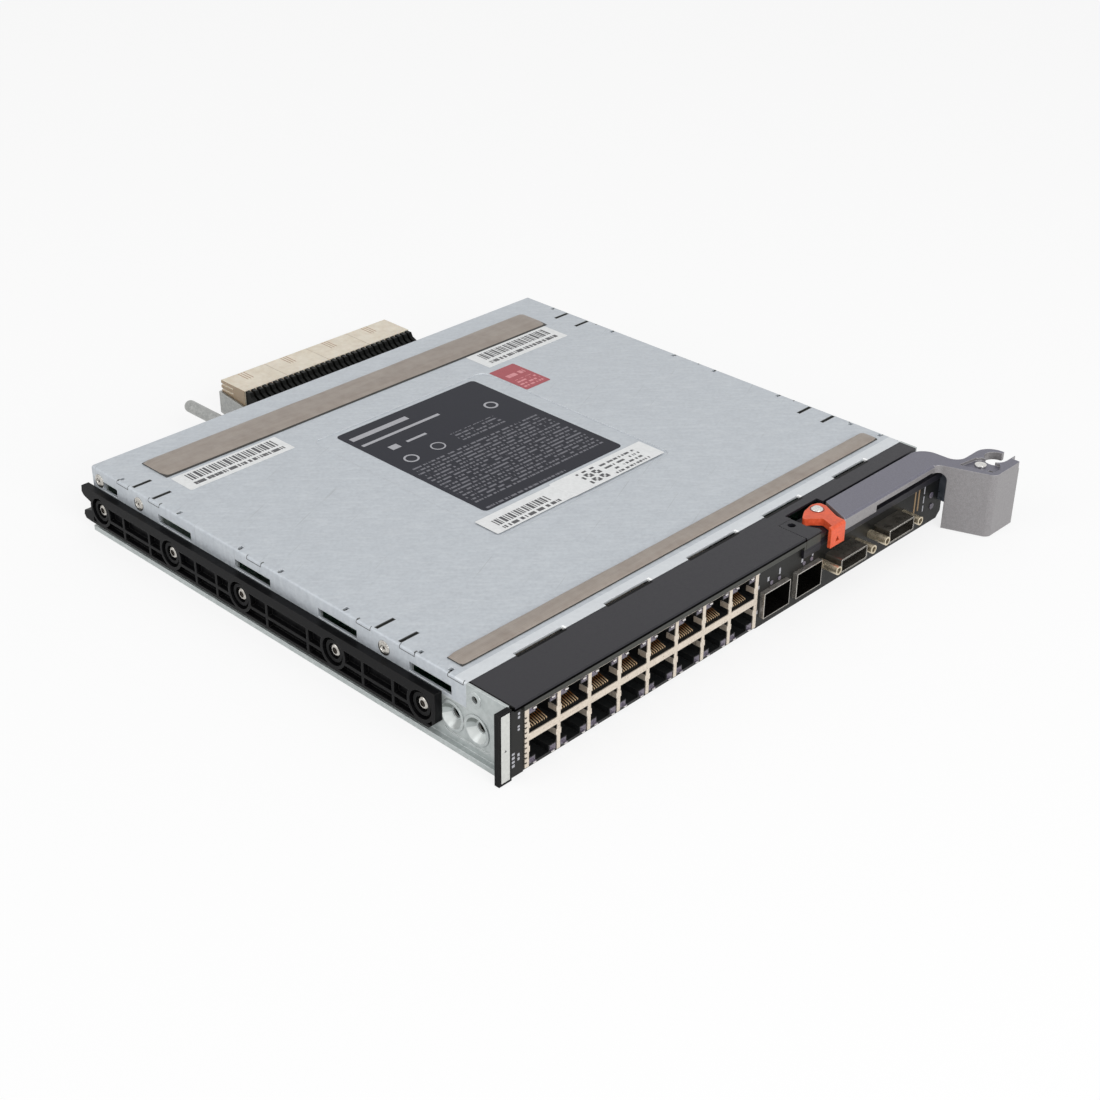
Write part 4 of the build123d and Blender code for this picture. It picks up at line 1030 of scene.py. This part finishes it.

# Cages and shielded connectors
# Two folded cages and two proud shells stand through the face, all nickel plated.
# The cages are painted near-black inside their bright rims as painted shade, and threaded
# posts stand beside each shell.
nickel_dark = (0.46, 0.43, 0.39, 1)
nickel_pale = (0.55, 0.52, 0.48, 1)
nickel_edge = (0.92, 0.89, 0.84, 1)
cage_shade_black = (0.018, 0.016, 0.014, 1)
shell_dark = (0.12, 0.11, 0.095, 1)
shell_pale = (0.19, 0.175, 0.15, 1)
brass_dark = (0.55, 0.47, 0.34, 1)
brass_pale = (0.68, 0.60, 0.45, 1)
brass_edge = (0.95, 0.88, 0.72, 1)
bright_rim = 0.22
nickel_plate, tree, shader, color = finish(
    "nickel_plate", 0.30, 0.8, nickel_dark, nickel_pale, 70.0, nickel_edge, 0.85,
    radius=0.0002, bump=0.05,
)
# Painted shade: each cage is near-black inside a thin bright rim
cage_shaded_insides = []
for name in ("cage_left", "cage_right"):
    cage_low, cage_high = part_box(name)
    inset = Vector((bright_rim, -1, bright_rim)) * mm
    cage_shaded_insides.append((cage_low + inset, cage_high - inset))
cage_shaded = add_spots(tree, cage_shaded_insides, color, cage_shade_black)
tree.links.new(cage_shaded, shader.inputs["Base Color"])
coat(nickel_plate, "cage_left", "cage_right")
shell_nickel, *_ = finish(
    "shell_nickel", 0.30, 0.8, shell_dark, shell_pale, 90.0, nickel_edge, 0.9,
    radius=0.0002, bump=0.05,
)
coat(shell_nickel, "link_shell_left", "link_shell_right")
post_brass, *_ = finish(
    "post_brass", 0.28, 0.8, brass_dark, brass_pale, 200.0, brass_edge, 0.6,
    radius=0.00015, bump=0.05,
)
coat(post_brass, "link_posts")
coat(jack_black, "link_cores")

# Lever, its bracket and pin
# The lever is a zinc casting with a speckled grey-bronze metallic coat.
# It turns on a plated pin between the ears of a folded blue-grey bracket.
bronze_dark = (0.215, 0.205, 0.21, 1)
bronze_pale = (0.30, 0.29, 0.295, 1)
bronze_edge = (0.58, 0.57, 0.57, 1)
bronze_fleck = (0.42, 0.41, 0.41, 1)
bronze_top_shade = (0.55, 0.56, 0.68, 1)
ear_dark = (0.15, 0.17, 0.21, 1)
ear_pale = (0.21, 0.235, 0.28, 1)
lever_coat, tree, shader, color = finish(
    "lever_coat", 0.38, 0.35, bronze_dark, bronze_pale, 900.0, bronze_edge, 0.55,
    radius=0.0004, bump=0.2, bump_depth=0.00005,
)
fleck = use_group(tree, mottle, Scale=2600.0, Fine=1.7, Low=0.52, High=0.66)
flecked = blend_colors(tree, scaled(tree, fleck["Mask"], 0.4), color, bronze_fleck)
# Painted shade: faces that look up are multiplied by a darker, bluer colour
upward = math_node(tree, "GREATER_THAN", split(tree, face_turn(tree))["Z"], 0.7)
top_shaded = blend_colors(tree, upward, flecked, bronze_top_shade, blend="MULTIPLY")
tree.links.new(top_shaded, shader.inputs["Base Color"])
coat(lever_coat, "ejector_lever")
bracket_steel, *_ = finish(
    "bracket_steel", 0.34, 0.7, ear_dark, ear_pale, 120.0, steel_edge, 0.6
)
coat(bracket_steel, "lever_bracket")
coat(plated_steel, "lever_pin")

# Latch, rivet and spring
# The latch is an orange moulding held by a bright rivet, with a spring leaf beside it.
# Its tab has a small pressed triangle, and a dark ring of painted shade lies round the rivet.
orange_dark = (0.60, 0.075, 0.025, 1)
orange_pale = (0.76, 0.115, 0.045, 1)
orange_edge = (0.95, 0.34, 0.18, 1)
rivet_shade_red = (0.10, 0.012, 0.006, 1)
rivet_x, rivet_y, ring_radius = 170.3, 9.2, 2.7
latch_plastic, tree, shader, color = finish(
    "latch_plastic", 0.36, 0.0, orange_dark, orange_pale, 240.0, orange_edge, 0.35,
    bump=0.1, specular=0.35,
)
rivet_middle = place(rivet_x, rivet_y, 0)
x, y = split(tree, object_place(tree))[:2]
aside = math_node(tree, "SUBTRACT", x, rivet_middle.x)
ahead = math_node(tree, "SUBTRACT", y, rivet_middle.y)
aside = math_node(tree, "POWER", aside, 2)
ahead = math_node(tree, "POWER", ahead, 2)
far = math_node(tree, "SQRT", math_node(tree, "ADD", aside, ahead))
# Painted shade: a dark red ring round the rivet
ring = math_node(tree, "LESS_THAN", far, ring_radius * mm)
rivet_shaded = blend_colors(tree, scaled(tree, ring, 0.75), color, rivet_shade_red)
tree.links.new(rivet_shaded, shader.inputs["Base Color"])
coat(latch_plastic, "release_latch")
coat(plated_steel, "latch_rivet", "latch_spring")

# Floor, lamps and camera
# A wide pale floor carries the object, under a soft white sky and two large soft lamps.
# The camera stands where the photograph was taken.
floor_size = 12.0
floor_glow = 0.8
floor_gap = 0.0001
sky_light = 0.6
lamp_places = [
    ("front_lamp", (-0.35, -1.3, 0.75), 1.0, 14.0),
    ("side_lamp", (-1.4, 0.5, 0.9), 1.0, 6.0),
]
camera_place = (-0.42774, -0.42648, 0.34228)
camera_turn = (59.640, -0.532, -45.922)
camera_lens = 59.32

bpy.ops.object.select_all(action="DESELECT")
bpy.ops.mesh.primitive_plane_add(size=floor_size, location=(0, 0, -floor_gap))
floor = bpy.context.object
floor.name = "studio_floor"
floor_material = bpy.data.materials.new("studio_floor")
floor_material.use_nodes = True
tree = floor_material.node_tree
tree.nodes.clear()
output = tree.nodes.new("ShaderNodeOutputMaterial")
matte = add_node(tree, "ShaderNodeBsdfDiffuse", Color=(0.9, 0.9, 0.9, 1))
glow = add_node(tree, "ShaderNodeEmission", Color=(1, 1, 1, 1), Strength=1.0)


def seen_rays(tree):
    """A mask that is on for what the camera sees, also in a mirror or through a lens."""
    rays = tree.nodes.new("ShaderNodeLightPath").outputs
    seen = math_node(tree, "MAXIMUM", rays["Is Camera Ray"], rays["Is Glossy Ray"])
    return math_node(tree, "MAXIMUM", seen, rays["Is Transmission Ray"])


share = scaled(tree, seen_rays(tree), floor_glow)
mixed = tree.nodes.new("ShaderNodeMixShader")
tree.links.new(share, mixed.inputs["Fac"])
tree.links.new(matte.outputs["BSDF"], mixed.inputs[1])
tree.links.new(glow.outputs["Emission"], mixed.inputs[2])
tree.links.new(mixed.outputs["Shader"], output.inputs["Surface"])
floor.data.materials.append(floor_material)

sky = bpy.data.worlds.new("studio_sky")
bpy.context.scene.world = sky
sky.use_nodes = True
tree = sky.node_tree
dome = tree.nodes["Background"]
dome.inputs["Color"].default_value = (1, 1, 1, 1)
tree.links.new(between(tree, seen_rays(tree), sky_light, 1.0), dome.inputs["Strength"])

for name, lamp_place, size, power in lamp_places:
    bpy.ops.object.light_add(type="AREA", location=lamp_place)
    lamp = bpy.context.object
    lamp.name = name
    lamp.data.size = size
    lamp.data.energy = power
    lamp.rotation_euler = (-Vector(lamp_place)).to_track_quat("-Z", "Y").to_euler()

bpy.ops.object.camera_add(
    location=camera_place, rotation=[math.radians(part) for part in camera_turn]
)
camera = bpy.context.object
camera.data.lens = camera_lens
camera.data.sensor_width = 36.0
camera.data.clip_start = 0.01
bpy.context.scene.camera = camera
bpy.context.scene.view_settings.view_transform = "Standard"
